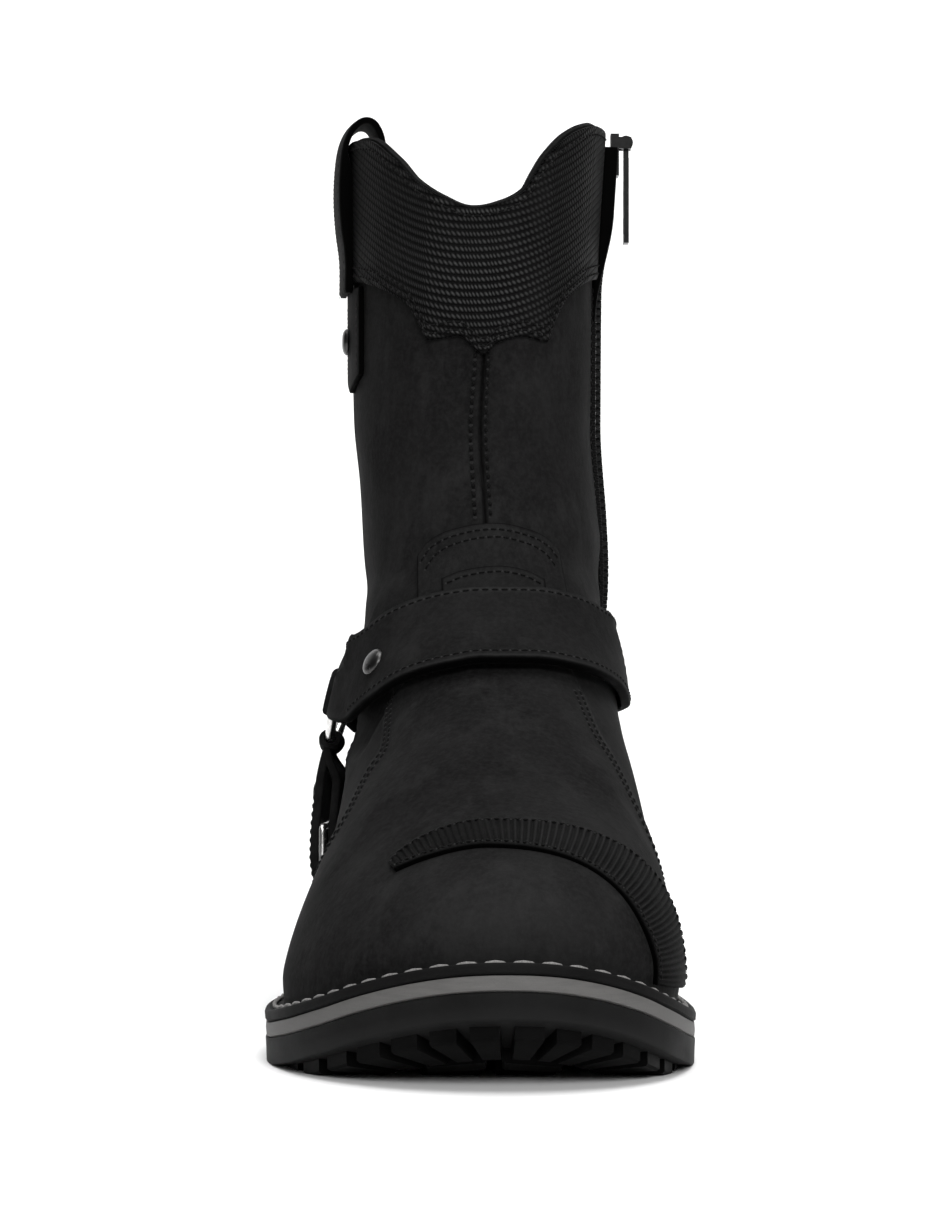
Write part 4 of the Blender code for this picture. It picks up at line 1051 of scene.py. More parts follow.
def ankle_hollow(turn, points):
    """The outer ankle sits back behind the vamp, where the straps meet."""
    along, height = points[..., 1], points[..., 2]
    between = fade(-along, -HOLLOW_FRONT, HOLLOW_FRONT_FADES) * fade(along, HOLLOW_BACK, HOLLOW_BACK_FADES)
    level = fade(height, HOLLOW_LOW, HOLLOW_LOW_FADES) * (1 - fade(height, HOLLOW_HIGH, HOLLOW_HIGH_FADES))
    return np.where(turn < 0, ANKLE_HOLLOW * between * level, 0.0)


def skin_relief(turn, height, points):
    """How far the uneven skin stands off the plain shape, with its creases."""
    quiet = fade(height, feather(points[..., 1]), QUIET_LOW)
    quiet = quiet * (1 - fade(height, QUIET_TOP, QUIET_TOP_FADES))
    return quiet * (waves(points) - folds(turn, height))


def upper_wear_and_painted_light(vamp, height, points, seam):
    """Paler at the vamp's edge and along the welt, a painted highlight on the toe, and painted shade in the
    front seam's groove.
    """
    x, along, level = np.moveaxis(points, -1, 0)
    edge = 4 * vamp * (1 - vamp)
    # Painted highlight on the toe's top
    toe = fade(along, TOE_HIGHLIGHT_FROM, TOE_HIGHLIGHT_FADES) * bell((x - TOE_HIGHLIGHT_MIDDLE) / TOE_HIGHLIGHT_HALF)
    toe = toe * bell((height - TOE_HIGHLIGHT_HEIGHT) / TOE_HIGHLIGHT_TALL)
    foot = bell((level - feather(along)) / FOOT_WORN_TALL)
    return EDGE_PALE * edge + TOE_PAINTED_HIGHLIGHT * toe + FOOT_PALE * foot - SEAM_PAINTED_SHADE * seam


def make_upper():
    """One shell: the outer face with its seams, the rim at the collar, and the lining inside."""
    turn, height, points = upper_grid()
    hollow = ankle_hollow(turn, points)
    vamp = vamp_share(turn, height)
    low, high, fades = FRONT_SEAM_SPAN
    sewn = fade(height, low, fades) * (1 - fade(height, high, fades))
    sewn = sewn * (np.abs(turn) < FRONT_HALF_TURN)
    from_seam = points[..., 0] - wrap_point(seam_turn(height), height)[..., 0]
    behind = fade(height, BACK_SEAM_LOW, BACK_SEAM_FADES) * (np.abs(turn) > BACK_SEAM_TURN)
    back_seam = seam_groove(points[..., 0] - shaft_centre(height), behind)
    relief = VAMP_STEP * vamp + seam_groove(from_seam, sewn) + BACK_SEAM_SHARE * back_seam
    relief = relief + skin_relief(turn, height, points)
    normal = grid_normals(points)
    facing = points.copy()
    facing[..., 1] -= (back_along(height) + front_along(height)) / 2
    facing[..., 2] = LOOK_BELOW
    normal = normal * np.sign((normal * facing).sum(axis=-1).mean())
    normal[:, 0] = normal[:, -1] = (normal[:, 0] + normal[:, -1]) / 2
    outer = points + normal * (relief - hollow)[..., None]
    inner = points - normal * (WALL + hollow)[..., None]
    rim = (outer[-1:] + inner[-1:]) / 2 + RIM_ROUND * UPWARD
    rows, columns = turn.shape
    loops = np.concatenate([outer, rim, inner[::-1]])
    faces = ring_faces(len(loops), columns)
    inside = [0] * (rows * columns) + [1] * (len(faces) - rows * columns)
    # Painted shade in the front seam's groove
    seam = sewn * bell(from_seam / SEAM_SHADE_HALF)
    wears_and_painted_light = np.concatenate([upper_wear_and_painted_light(vamp, height, points, seam), np.zeros((rows + 1, columns))])
    flat = np.stack([turn * MM_A_DEGREE, height], axis=-1)
    flats = np.concatenate([flat, flat[-1:], flat[::-1]])
    piece("upper_leather", loops, faces, [LEATHER, LINING], LEATHER_SLOT, ["upper"], flats, wears_and_painted_light, inside)


# Leather laid on the upper

PANEL_THICK = 1.2
PANEL_ROUND = 1.3
TWILL_DIP = 25.0
PANEL_COLUMNS = 250
PANEL_END_STEP = 0.4
PANEL_BELOW_RIM = 0.4
COLLAR_SEAM_IN = 3.0
PANEL_SEAMS_IN = (1.9, 4.4)
PANEL_TALL = 45
PANEL_ACROSS = 26
# Painted highlight on the panel's front, and painted shade on its sides
PANEL_PAINTED_HIGHLIGHT = 0.75
PANEL_HIGHLIGHT_TURN, PANEL_HIGHLIGHT_HALF = 2, 22
PANEL_HIGHLIGHT_HEIGHT, PANEL_HIGHLIGHT_TALL = 226, 20
PANEL_SIDE_PAINTED_SHADE = 0.3
PANEL_SIDE_HALF = 45
PATCH_SEAMS_IN = (2.0, 4.3)
TAB_SEAMS_IN = (1.8,)
LAYER_COLUMNS = 60
LAYER_ACROSS = 20
LAYER_DEGREES_A_MM = 0.9
LAYER_ROUND = 1.1
panel_edge = curve_of(PANEL_EDGE, "turn", "height")


def wrap_grid(turns, low, high, shares, lift):
    """A grid of points round the shaft between two heights, lifted off it."""
    height = low[:, None] + (high - low)[:, None] * shares[None, :]
    turn = np.broadcast_to(turns[:, None], height.shape)
    return outward(wrap_point, turn, height, np.broadcast_to(lift[:, None], height.shape))


def make_collar_panel():
    """The embossed band: its woven rows dip to the front with the collar, with a painted highlight at its
    front and painted shade on its sides.
    """
    first, last = PANEL_EDGE[0].turn, PANEL_EDGE[-1].turn
    ends = [first + PANEL_END_STEP, last - PANEL_END_STEP]
    turns = np.sort(np.concatenate([np.linspace(first, last, PANEL_COLUMNS), ends]))
    high = collar_height(wrap_turn(turns)) - PANEL_BELOW_RIM
    lift = np.full(len(turns), SKIN_GAP + PANEL_THICK / 2)
    grid = wrap_grid(turns, panel_edge(turns), high, edged(PANEL_TALL, PANEL_ACROSS, PANEL_ROUND), lift)
    dip = TWILL_DIP * np.sin(np.radians(turns)) ** 2
    flat = np.stack([lengths(grid, 0)[:, :1] + 0 * grid[..., 0], grid[..., 2] - dip[:, None]], axis=-1)
    # Painted highlight at the front of the panel, painted shade towards its sides
    front = bell((turns - PANEL_HIGHLIGHT_TURN) / PANEL_HIGHLIGHT_HALF)[:, None]
    front = front * bell((grid[..., 2] - PANEL_HIGHLIGHT_HEIGHT) / PANEL_HIGHLIGHT_TALL)
    pale = PANEL_PAINTED_HIGHLIGHT * front - PANEL_SIDE_PAINTED_SHADE * (1 - bell(turns / PANEL_SIDE_HALF))[:, None]
    look = PLAIN._replace(pale=pale, flat=flat)
    band("collar_embossed", grid, PANEL_THICK, PANEL_ROUND, EMBOSSED, ["collar_panel"], look, EMBOSSED_SLOT)
    top = SKIN_GAP + PANEL_THICK + ON_TOP
    inside = turns[3:-3]
    rows = [collar_height(wrap_turn(inside)) - COLLAR_SEAM_IN]
    rows += [panel_edge(inside) + inset for inset in PANEL_SEAMS_IN]
    seams = [seam_on(wrap_point, inside, row, top) for row in rows]
    stitches("collar_stitches", seams, COLLAR_STITCH, slot=EMBOSSED_SLOT)


def wrap_curves(table):
    """Curves of a band's lower edge, upper edge and lift, by turn."""
    return [curve_of(table, "turn", column) for column in ("low", "high", "lift")]


def make_instep_layers():
    """The patch and the tab over the front of the ankle, with their rows of stitches."""
    layers = [
        ("instep_patch", INSTEP_PATCH, PATCH_THICK, PATCH_SEAMS_IN),
        ("instep_tab", INSTEP_TAB, TAB_THICK, TAB_SEAMS_IN),
    ]
    seams = []
    for node, table, thick, insets in layers:
        low, high, lift = wrap_curves(table)
        turns = np.linspace(table[0].turn, table[-1].turn, LAYER_COLUMNS)
        wide = float(np.mean(high(turns) - low(turns)))
        shares = edged(wide, LAYER_ACROSS, LAYER_ROUND)
        grid = wrap_grid(turns, low(turns), high(turns), shares, lift(turns) + thick / 2)
        band(f"{node}_leather", grid, thick, LAYER_ROUND, LEATHER, [node], PLAIN._replace(worn=0.1))
        for inset in insets:
            aside = inset * LAYER_DEGREES_A_MM
            inside = np.linspace(table[0].turn + aside, table[-1].turn - aside, LAYER_COLUMNS)
            seams.append(seam_on(wrap_point, inside, high(turns) - inset, table[0].lift + thick + ON_TOP))
    stitches("instep_stitches", seams, INSTEP_STITCH)


def skin_seam(turns, heights, lift):
    """A stitched line on the upper, which follows its creases and its ankle."""
    points = wrap_point(turns, heights)
    dips = skin_relief(turns, heights, points) - ankle_hollow(turns, points)
    return seam_on(wrap_point, turns, heights, lift + dips)


FRONT_SEAM_ROWS = (-2.7, 1.8)
FRONT_SEAM_LIFT = 0.4
BACK_SEAM_ROWS = (-2.2, 2.2)
BACK_SEAM_LIFT = 0.2
VAMP_SEAM_ROWS = (2.6, 4.9)
ZIP_SEAM_ROWS = (-9.6, 9.6)
FRONT_SEAM_RUN = np.linspace(155, 205, 40)
BACK_SEAM_RUN = np.linspace(121, 227, 60)
VAMP_SEAM_RUN = np.linspace(104, 25, 60)
ZIP_SEAM_RUN = np.linspace(ZIP_FOOT, 228, 60)


def make_seam_stitches():
    """Rows beside the front and back seams, along the vamp's edges and beside the zip."""
    tall = FRONT_SEAM_RUN
    front = [skin_seam(seam_turn(tall) + offset, tall, FRONT_SEAM_LIFT) for offset in FRONT_SEAM_ROWS]
    stitches("front_seam_stitches", front, FRONT_SEAM_STITCH)
    tall = BACK_SEAM_RUN
    seams = [skin_seam(180 + 0 * tall + offset, tall, BACK_SEAM_LIFT) for offset in BACK_SEAM_ROWS]
    down = VAMP_SEAM_RUN
    for offset in VAMP_SEAM_ROWS:
        seams.append(skin_seam(outer_edge(down) + offset, down, VAMP_STEP))
        seams.append(skin_seam(inner_edge(down) - offset, down, VAMP_STEP))
    tall = ZIP_SEAM_RUN
    for offset in ZIP_SEAM_ROWS:
        seams.append(seam_on(inner_side, tall, zip_along(tall) + offset, ON_TOP))
    stitches("seam_stitches", seams, SEAM_STITCH)


PAD_RIB_PITCH = 1.75
PAD_RIB_HIGH = 0.28
PAD_ROUND = 0.9
PAD_RAISED = 0.25
PAD_SUNK = 0.7
PAD_SEAM_IN = 1.5
PAD_COLUMNS = 700
PAD_WIDE = 16
PAD_ACROSS = 14
PAD_PLAIN_EDGE, PAD_PLAIN_FADES = 0.5, 0.7
# Painted highlight on the pad's rib crests, fading in towards the inner side
PAD_PAINTED_HIGHLIGHT = 0.6
PAD_HIGHLIGHT_FROM, PAD_HIGHLIGHT_FADES = -5, 22
PAD_SEAM_ENDS = 6


def make_shift_pad():
    """The band over the toes, with fine ribs across it between its stitched edges, and a painted highlight
    on the rib crests towards its inner side.
    """
    back = curve_of(SHIFT_PAD, "over", "back")
    front = curve_of(SHIFT_PAD, "over", "front")
    over = np.linspace(SHIFT_PAD[0].over, SHIFT_PAD[-1].over, PAD_COLUMNS)
    shares = edged(PAD_WIDE, PAD_ACROSS, PAD_ROUND)
    along = back(over)[:, None] + (front(over) - back(over))[:, None] * shares[None, :]
    overs = np.broadcast_to(over[:, None], along.shape)
    grid = outward(vamp_point, along, overs, np.full(along.shape, SKIN_GAP + PAD_THICK / 2 + PAD_RAISED))
    run = lengths(grid, 0).mean(axis=1)[:, None]
    ribs = PAD_RIB_HIGH * np.sin(2 * np.pi * run / PAD_RIB_PITCH)
    ribs = ribs * fade(edge_distance(grid), PAD_PLAIN_EDGE, PAD_PLAIN_FADES)
    # Painted highlight on the rib crests
    pale = PAD_PAINTED_HIGHLIGHT * np.maximum(ribs / PAD_RIB_HIGH, 0) * fade(grid[..., 0], PAD_HIGHLIGHT_FROM, PAD_HIGHLIGHT_FADES)
    look = PLAIN._replace(worn=0.2, pale=pale)
    form = {"relief": ribs, "sink": PAD_SUNK}
    band("shift_pad_ribbed", grid, PAD_THICK, PAD_ROUND, PAD_LEATHER, ["shift_pad"], look, **form)
    top = SKIN_GAP + PAD_THICK + PAD_RAISED + ON_TOP
    middle = over[PAD_SEAM_ENDS:-PAD_SEAM_ENDS]
    lines = (back(middle) + PAD_SEAM_IN, front(middle) - PAD_SEAM_IN)
    stitches("shift_pad_stitches", [seam_on(vamp_point, line, middle, top) for line in lines], PAD_STITCH)


# Harness


def ring_frame():
    """Centre of the ring, and its forward, upward and outward directions: its foot leans out."""
    centre = outward(wrap_point, RING_TURN, RING_HEIGHT, RING_LIFT)
    out = normal_of(wrap_point, np.float64(RING_TURN), np.float64(RING_HEIGHT))
    ahead = unit(np.cross(UPWARD, out))
    ahead *= np.sign(ahead[1])
    up = np.cross(out, ahead)
    up *= np.sign(up[2])
    tilt = math.radians(RING_TILT)
    leaning = math.cos(tilt) * up - math.sin(tilt) * out
    return centre, ahead, leaning, math.cos(tilt) * out + math.sin(tilt) * up


RING_CENTRE, RING_AHEAD, RING_UP, RING_OUT = ring_frame()


def ring_point(angle, radius, lift=0.0):
    """Points in the ring's plane: angle 0 towards the toe, 90 up."""
    angle = np.radians(np.asarray(angle, float))[..., None]
    spoke = np.cos(angle) * RING_AHEAD + np.sin(angle) * RING_UP
    return RING_CENTRE + np.asarray(radius)[..., None] * spoke + np.asarray(lift)[..., None] * RING_OUT


def make_ring():
    path = ring_point(np.arange(0, 360, RING_STEP), RING_RADIUS)
    points, faces = closed_wire(path, RING_WIRE, RING_SIDES)
    piece("steel_ring", points, faces, [STEEL], "steel", ["ring"], sharp=60)


LOOP_SIDES = 22
LOOP_END = 2.5
LOOP_END_SWELL = 0.86
LOOP_STEPS = 24
STRAP_EDGE = 0.9
STRAP_STITCH_IN = 1.6
STRAP_ACROSS = 12
STRAP_BLEND = 14
STRAP_ROWS = 130
STRAP_WIDE = 21
SOLE_STRAP_ROWS = 50
STRAP_NARROWS = 2.0
STITCH_SEAT = 0.02
# How black the sole straps' cut edges are dyed and painted as shade
SOLE_STRAP_DYE_AND_SHADE = 0.25


def fold_round_ring(angle):
    """The fold that holds a strap to the ring: a sleeve round part of its wire, with rounded ends."""
    half = LOOP_SPAN / 2
    middle = np.linspace(LOOP_END - half, half - LOOP_END, LOOP_STEPS)
    turns = angle + np.concatenate([[-half], middle, [half]])
    swell = np.ones(len(turns))
    swell[[0, -1]] = LOOP_END_SWELL
    sides = np.arange(LOOP_SIDES) * 2 * np.pi / LOOP_SIDES
    walls = []
    for bore in (LOOP_OUTSIDE, LOOP_BORE):
        wide = (LOOP_BORE + (bore - LOOP_BORE) * swell)[:, None]
        radius = RING_RADIUS + wide * np.cos(sides)[None, :]
        walls.append(ring_point(np.broadcast_to(turns[:, None], radius.shape), radius, wide * np.sin(sides)))
    loops = np.concatenate([walls[0], walls[1][::-1]])
    return loops, ring_faces(len(loops), LOOP_SIDES)


def strap_from_ring(angle, flip, rows, shares):
    """Rows of points that leave the ring and run smoothly into a strap's own rows."""
    half = (LOOP_SPAN / 2 - STRAP_NARROWS) * (2 * shares - 1)
    turns = angle + (-half if flip else half)
    radius = RING_RADIUS + (LOOP_BORE + LOOP_OUTSIDE) / 2
    start = ring_point(turns, np.full(len(turns), radius))
    leave = ring_point(turns, np.full(len(turns), radius + 1.0)) - start
    span = np.linalg.norm(rows[0] - start, axis=-1, keepdims=True)
    arrive = unit(rows[1] - rows[0])
    share = np.linspace(0, 1, STRAP_BLEND + 2)[:-1, None, None]
    first = (1 + 2 * share) * (1 - share) ** 2 * start + share * (1 - share) ** 2 * span * leave
    second = share**2 * (3 - 2 * share) * rows[0] + share**2 * (share - 1) * span * arrive
    return np.concatenate([first + second, rows])


def make_strap(name, angle, flip, rows, shares, thick=STRAP_THICK, dye=1.0):
    """One harness strap with its fold on the ring."""
    grid = strap_from_ring(angle, flip, rows, shares)
    look = PLAIN._replace(worn=0.4, dye=dye)
    band(f"{name}_leather", grid, thick, STRAP_EDGE, STRAP_LEATHER, [name], look)
    loops, faces = fold_round_ring(angle)
    piece(f"{name}_leather_fold", loops, faces, [STRAP_LEATHER], LEATHER_SLOT)


def strap_rows(table):
    """Dense rows of a strap that wraps the ankle, in the table's order, and its two stitched lines."""
    turns = np.linspace(table[0].turn, table[-1].turn, STRAP_ROWS)
    low, high, lift = wrap_curves(table)
    shares = edged(STRAP_WIDE, STRAP_ACROSS, STRAP_EDGE)
    rows = wrap_grid(turns, low(turns), high(turns), shares, lift(turns))
    top = lift(turns) + STRAP_THICK / 2 + STITCH_SEAT
    lines = (low(turns) + STRAP_STITCH_IN, high(turns) - STRAP_STITCH_IN)
    return rows, shares, [seam_on(wrap_point, turns, line, top) for line in lines]


sole_back = curve_of(SOLE_STRAP, "height", "back")
sole_front = curve_of(SOLE_STRAP, "height", "front")
sole_lift = curve_of(SOLE_STRAP, "height", "lift")
sole_inner_lift = curve_of(SOLE_STRAP, "height", "inner_lift")


def make_straps():
    """The straps to the instep, to the heel and, in two layers, to the sole."""
    seams = []
    for name, angle, flip, table in (
        ("instep_strap", INSTEP_STRAP_AT, False, INSTEP_STRAP),
        ("heel_strap", HEEL_STRAP_AT, True, HEEL_STRAP),
    ):
        rows, shares, edges = strap_rows(table)
        make_strap(name, angle, flip, rows, shares)
        seams += edges
    height = np.linspace(SOLE_STRAP[0].height, SOLE_STRAP[-1].height, SOLE_STRAP_ROWS)
    back = sole_back(height)
    front = sole_front(height)
    along = back[:, None] + (front - back)[:, None] * shares[None, :]
    heights = np.broadcast_to(height[:, None], along.shape)
    rows = outward(outer_side, along, heights, sole_lift(heights))
    make_strap("sole_strap", SOLE_STRAP_AT, False, rows, shares, SOLE_STRAP_THICK, SOLE_STRAP_DYE_AND_SHADE)
    rows = outward(outer_side, along, heights, sole_inner_lift(heights))
    grid = strap_from_ring(SOLE_STRAP_AT, False, rows, shares)
    look = PLAIN._replace(worn=0.3, dye=SOLE_STRAP_DYE_AND_SHADE)
    band("sole_strap_inner", grid, SOLE_STRAP_THICK, STRAP_EDGE, STRAP_LEATHER, look=look)
    top = sole_lift(height) + SOLE_STRAP_THICK / 2 + STITCH_SEAT
    for line in (back + STRAP_STITCH_IN, front - STRAP_STITCH_IN):
        seams.append(seam_on(outer_side, line, height, top))
    stitches("strap_stitches", seams, STRAP_STITCH)


RIVET_PROFILE = ((1.0, 0.0), (1.04, 0.12), (1.02, 0.3), (0.93, 0.55), (0.76, 0.78), (0.5, 0.93), (0.22, 1.0))
RIVET_SIDES = 28


def rivet(surface, first, second, lift):
    """A domed rivet head standing on a surface."""
    seat = outward(surface, first, second, lift)
    out = normal_of(surface, np.float64(first), np.float64(second))
    side = unit(np.cross(out, UPWARD))
    up = np.cross(out, side)
    turn = 2 * np.pi * np.arange(RIVET_SIDES) / RIVET_SIDES
    spoke = np.cos(turn)[:, None] * side + np.sin(turn)[:, None] * up
    rings = [seat + RIVET_RADIUS * wide * spoke + RIVET_HEIGHT * tall * out for wide, tall in RIVET_PROFILE]
    return np.concatenate(rings), capped_faces(len(rings), RIVET_SIDES)


FRONT_RIVET = Rim(-45.0, 110.0)
SIDE_RIVET = Rim(-115.0, 101.0)
SOLE_RIVET = Corner(109.0, 72.0)
PULL_RIVET_HIGH = 210.5
RIVET_SEAT = 0.1


def make_rivets():
    over_strap = STRAP_THICK / 2 + RIVET_SEAT
    front = curve_of(INSTEP_STRAP, "turn", "lift")(FRONT_RIVET.turn) + over_strap
    side = curve_of(HEEL_STRAP, "turn", "lift")(SIDE_RIVET.turn) + over_strap
    sole = sole_lift(SOLE_RIVET.height) + SOLE_STRAP_THICK / 2 + RIVET_SEAT
    pull = SKIN_GAP + PULL_TAB_THICK + SEAT_GAP
    heads = {
        "rivet_front": rivet(wrap_point, *FRONT_RIVET, front),
        "rivet_side": rivet(wrap_point, *SIDE_RIVET, side),
        "rivet_sole": rivet(outer_side, *SOLE_RIVET, sole),
        "rivet_pull": rivet(wrap_point, PULL_STRAP_TURN, PULL_RIVET_HIGH, pull),
    }
    for name, (points, faces) in heads.items():
        piece(f"{name}_head", points, faces, [DARK_STEEL], "steel", [name], sharp=50)


def rounded_path(corners, radius, steps):
    """A closed path through corners, each turned with a small radius."""
    path = []
    for i, corner in enumerate(corners):
        before = corners[i - 1] - corner
        after = corners[(i + 1) % len(corners)] - corner
        start = corner + unit(before) * radius
        end = corner + unit(after) * radius
        for share in np.linspace(0, 1, steps):
            path.append((1 - share) ** 2 * start + 2 * share * (1 - share) * corner + share**2 * end)
    return np.array(path)


def make_keeper():
    corners = []
    for corner in KEEPER_CORNERS:
        lift = (sole_lift(corner.height) + sole_inner_lift(corner.height)) / 2
        corners.append(outward(outer_side, corner.along, corner.height, lift))
    path = rounded_path(corners, KEEPER_CORNER, KEEPER_CORNER_STEPS)
    points, faces = closed_wire(path, KEEPER_WIRE, KEEPER_SIDES)
    piece("strap_keeper_wire", points, faces, [STEEL], "steel", ["strap_keeper"], sharp=60)


# Pull strap


PULL_STRAP_ROUND = 0.9
PULL_STRAP_ACROSS = 10
PULL_TAB_ROUND = 0.8
PULL_TAB_TALL = 35
PULL_TAB_ACROSS = 18
PULL_TAB_COLUMNS = 27
PULL_TAB_SEAM_ROWS = 30
PULL_TAB_SEAM_LOW, PULL_TAB_SEAM_HIGH = 2, 4
PULL_STEPS = 110
PULL_FILLED_TO = 262.0
PULL_FILL_FADES = 8.0
PULL_FRONT_STEPS = 5
PULL_SEAM_STEPS = 6.0
PULL_SEAM_IN = 2.2
PULL_TAB_SEAM_TURN = 12.6
PULL_TAB_SUNK = 0.6


def smooth_path(value, x):
    """A smooth curve through a path's points, with round turns."""
    tangent = np.gradient(value)
    i = np.clip(x.astype(int), 0, len(value) - 2)
    t = x - i
    start = (1 + 2 * t) * (1 - t) ** 2 * value[i] + t * (1 - t) ** 2 * tangent[i]
    return start + t * t * (3 - 2 * t) * value[i + 1] + t * t * (t - 1) * tangent[i + 1]


def make_pull_strap():
    """The loop at the collar, filled down to the panel below it, with its tab and their stitches. The filled
    part's black cut wall is painted shade for the gap under the strap, and its face is painted paler as a
    highlight.
    """
    at = np.linspace(0, len(PULL_LOOP) - 1, PULL_STEPS)
    out = smooth_path(np.array([row.out for row in PULL_LOOP]), at)
    height = smooth_path(np.array([row.height for row in PULL_LOOP]), at)
    level = np.minimum(height, PULL_STRAP_LEAVES)
    centre = wrap_point(np.full(len(at), PULL_STRAP_TURN), level)[:, 1]
    shares = edged(PULL_STRAP_WIDE, PULL_STRAP_ACROSS, PULL_STRAP_ROUND) - 0.5
    along = centre[:, None] + PULL_STRAP_WIDE * shares[None, :]
    wall = outer_side(along, np.broadcast_to(level[:, None], along.shape))[..., 0]
    grid = np.stack(np.broadcast_arrays(wall - out[:, None], along, height[:, None]), axis=-1)
    # Filled down to the panel: the black cut wall of the filled part is painted shade for the shadowed gap
    # under the strap
    filled = (1 - fade(height, PULL_FILLED_TO, PULL_FILL_FADES)) * (at < PULL_FRONT_STEPS)
    against = (out - PULL_STRAP_THICK / 2 - SKIN_GAP - PANEL_THICK) * filled
    sink = np.broadcast_to(against[:, None], along.shape)
    # The strap's face painted paler: painted highlight
    look = PLAIN._replace(worn=0.4, pale=0.3)
    form = (PULL_STRAP_THICK, PULL_STRAP_ROUND, STRAP_LEATHER)
    band("pull_strap_leather", grid, *form, ["pull_strap"], look, sink=sink)
    make_pull_tab()
    shown = at < PULL_SEAM_STEPS
    seams = []
    for side in (-1, 1):
        line = centre[shown] + side * (PULL_STRAP_WIDE / 2 - PULL_SEAM_IN)
        face = outer_side(line, level[shown])[:, 0] - out[shown] - PULL_STRAP_THICK / 2
        edge = np.stack([face, line, height[shown]], axis=-1)
        seams.append(Seam(edge, np.broadcast_to(TO_OUTER_SIDE, edge.shape)))
    low = PULL_TAB_LOW + PULL_TAB_SIDES_RISE + PULL_TAB_SEAM_LOW
    tall = np.linspace(low, PULL_TAB_HIGH - PULL_TAB_SEAM_HIGH, PULL_TAB_SEAM_ROWS)
    for side in (-1, 1):
        turns = PULL_TAB_TURN + side * PULL_TAB_SEAM_TURN + 0 * tall
        seams.append(seam_on(wrap_point, turns, tall, SKIN_GAP + PULL_TAB_THICK))
    stitches("pull_strap_stitches", seams, PULL_STITCH, sink=0.75)


def make_pull_tab():
    share = np.linspace(-1, 1, PULL_TAB_COLUMNS)
    turns = PULL_TAB_TURN + PULL_TAB_HALF_TURN * share
    low = PULL_TAB_LOW + PULL_TAB_SIDES_RISE * np.abs(share)
    high = np.full(len(turns), PULL_TAB_HIGH)
    lift = np.full(len(turns), SKIN_GAP + PULL_TAB_THICK / 2)
    shares = edged(PULL_TAB_TALL, PULL_TAB_ACROSS, PULL_TAB_ROUND)
    grid = wrap_grid(turns, low, high, shares, lift)
    form = (PULL_TAB_THICK, PULL_TAB_ROUND, STRAP_LEATHER)
    band("pull_tab_leather", grid, *form, ["pull_tab"], PLAIN._replace(worn=0.35), sink=PULL_TAB_SUNK)


# Zip

ZIP_EDGE_LOW = 217.0
ZIP_EDGE_OVER = 34.0
ZIP_EDGE_STANDS = 4.6
ZIP_EDGE_FROM = 5.6
ZIP_EDGE_WIDE = 3.6
ZIP_EDGE_THICK = 1.2
ZIP_EDGE_ROUND = 0.8
ZIP_EDGE_ROWS = 60
ZIP_EDGE_ACROSS = 6
TAPE_ROUND = 0.5
TAPE_ROWS = 110
TAPE_ACROSS = 12
TOOTH_LOOP = (0, 2, 4, 5, 3, 1)
TAPE_SUNK = 0.2
TOOTH_PITCH = 2.4
TOOTH_TALL = 1.5
TOOTH_REACH = (-TEETH_HALF, -0.2, 0.55)
TOOTH_WIDE = (0.8, 1.0, 0.72)
TOOTH_SLIM = 0.8
TEETH_ABOVE_FOOT = 3.0
TEETH_BELOW_SLIDER = 1.0
METAL_BEVEL = 0.3


def zip_along(height):
    """The zip's middle line, which leans back a little on its way up."""
    share = (np.asarray(height, float) - ZIP_FOOT) / (TAPE_TOP - ZIP_FOOT)
    return ZIP_FOOT_ALONG + (ZIP_TOP_ALONG - ZIP_FOOT_ALONG) * share


def zip_proud(height):
    return SKIN_GAP + ZIP_STANDS * fade(height, ZIP_STANDS_FROM, ZIP_STANDS_OVER)


def tooth(height, side):
    """One tooth of the zip, a small rounded block that reaches past the middle line."""
    points = []
    for lift, slim in ((TAPE_THICK + ON_TOP, 1.0), (TAPE_THICK + TEETH_THICK, TOOTH_SLIM)):
        for across, wide in zip(TOOTH_REACH, TOOTH_WIDE):
            spot = zip_along(height) + side * across
            for up in (-wide * TOOTH_TALL / 2, wide * TOOTH_TALL / 2):
                points.append(outward(inner_side, height + up * slim, spot, zip_proud(height) + lift))
    low = TOOTH_LOOP
    high = [index + len(low) for index in low]
    faces = [low, tuple(reversed(high))]
    for at in range(len(low)):
        after = (at + 1) % len(low)
        faces.append((low[at], low[after], high[after], high[at]))
    return np.array(points), faces


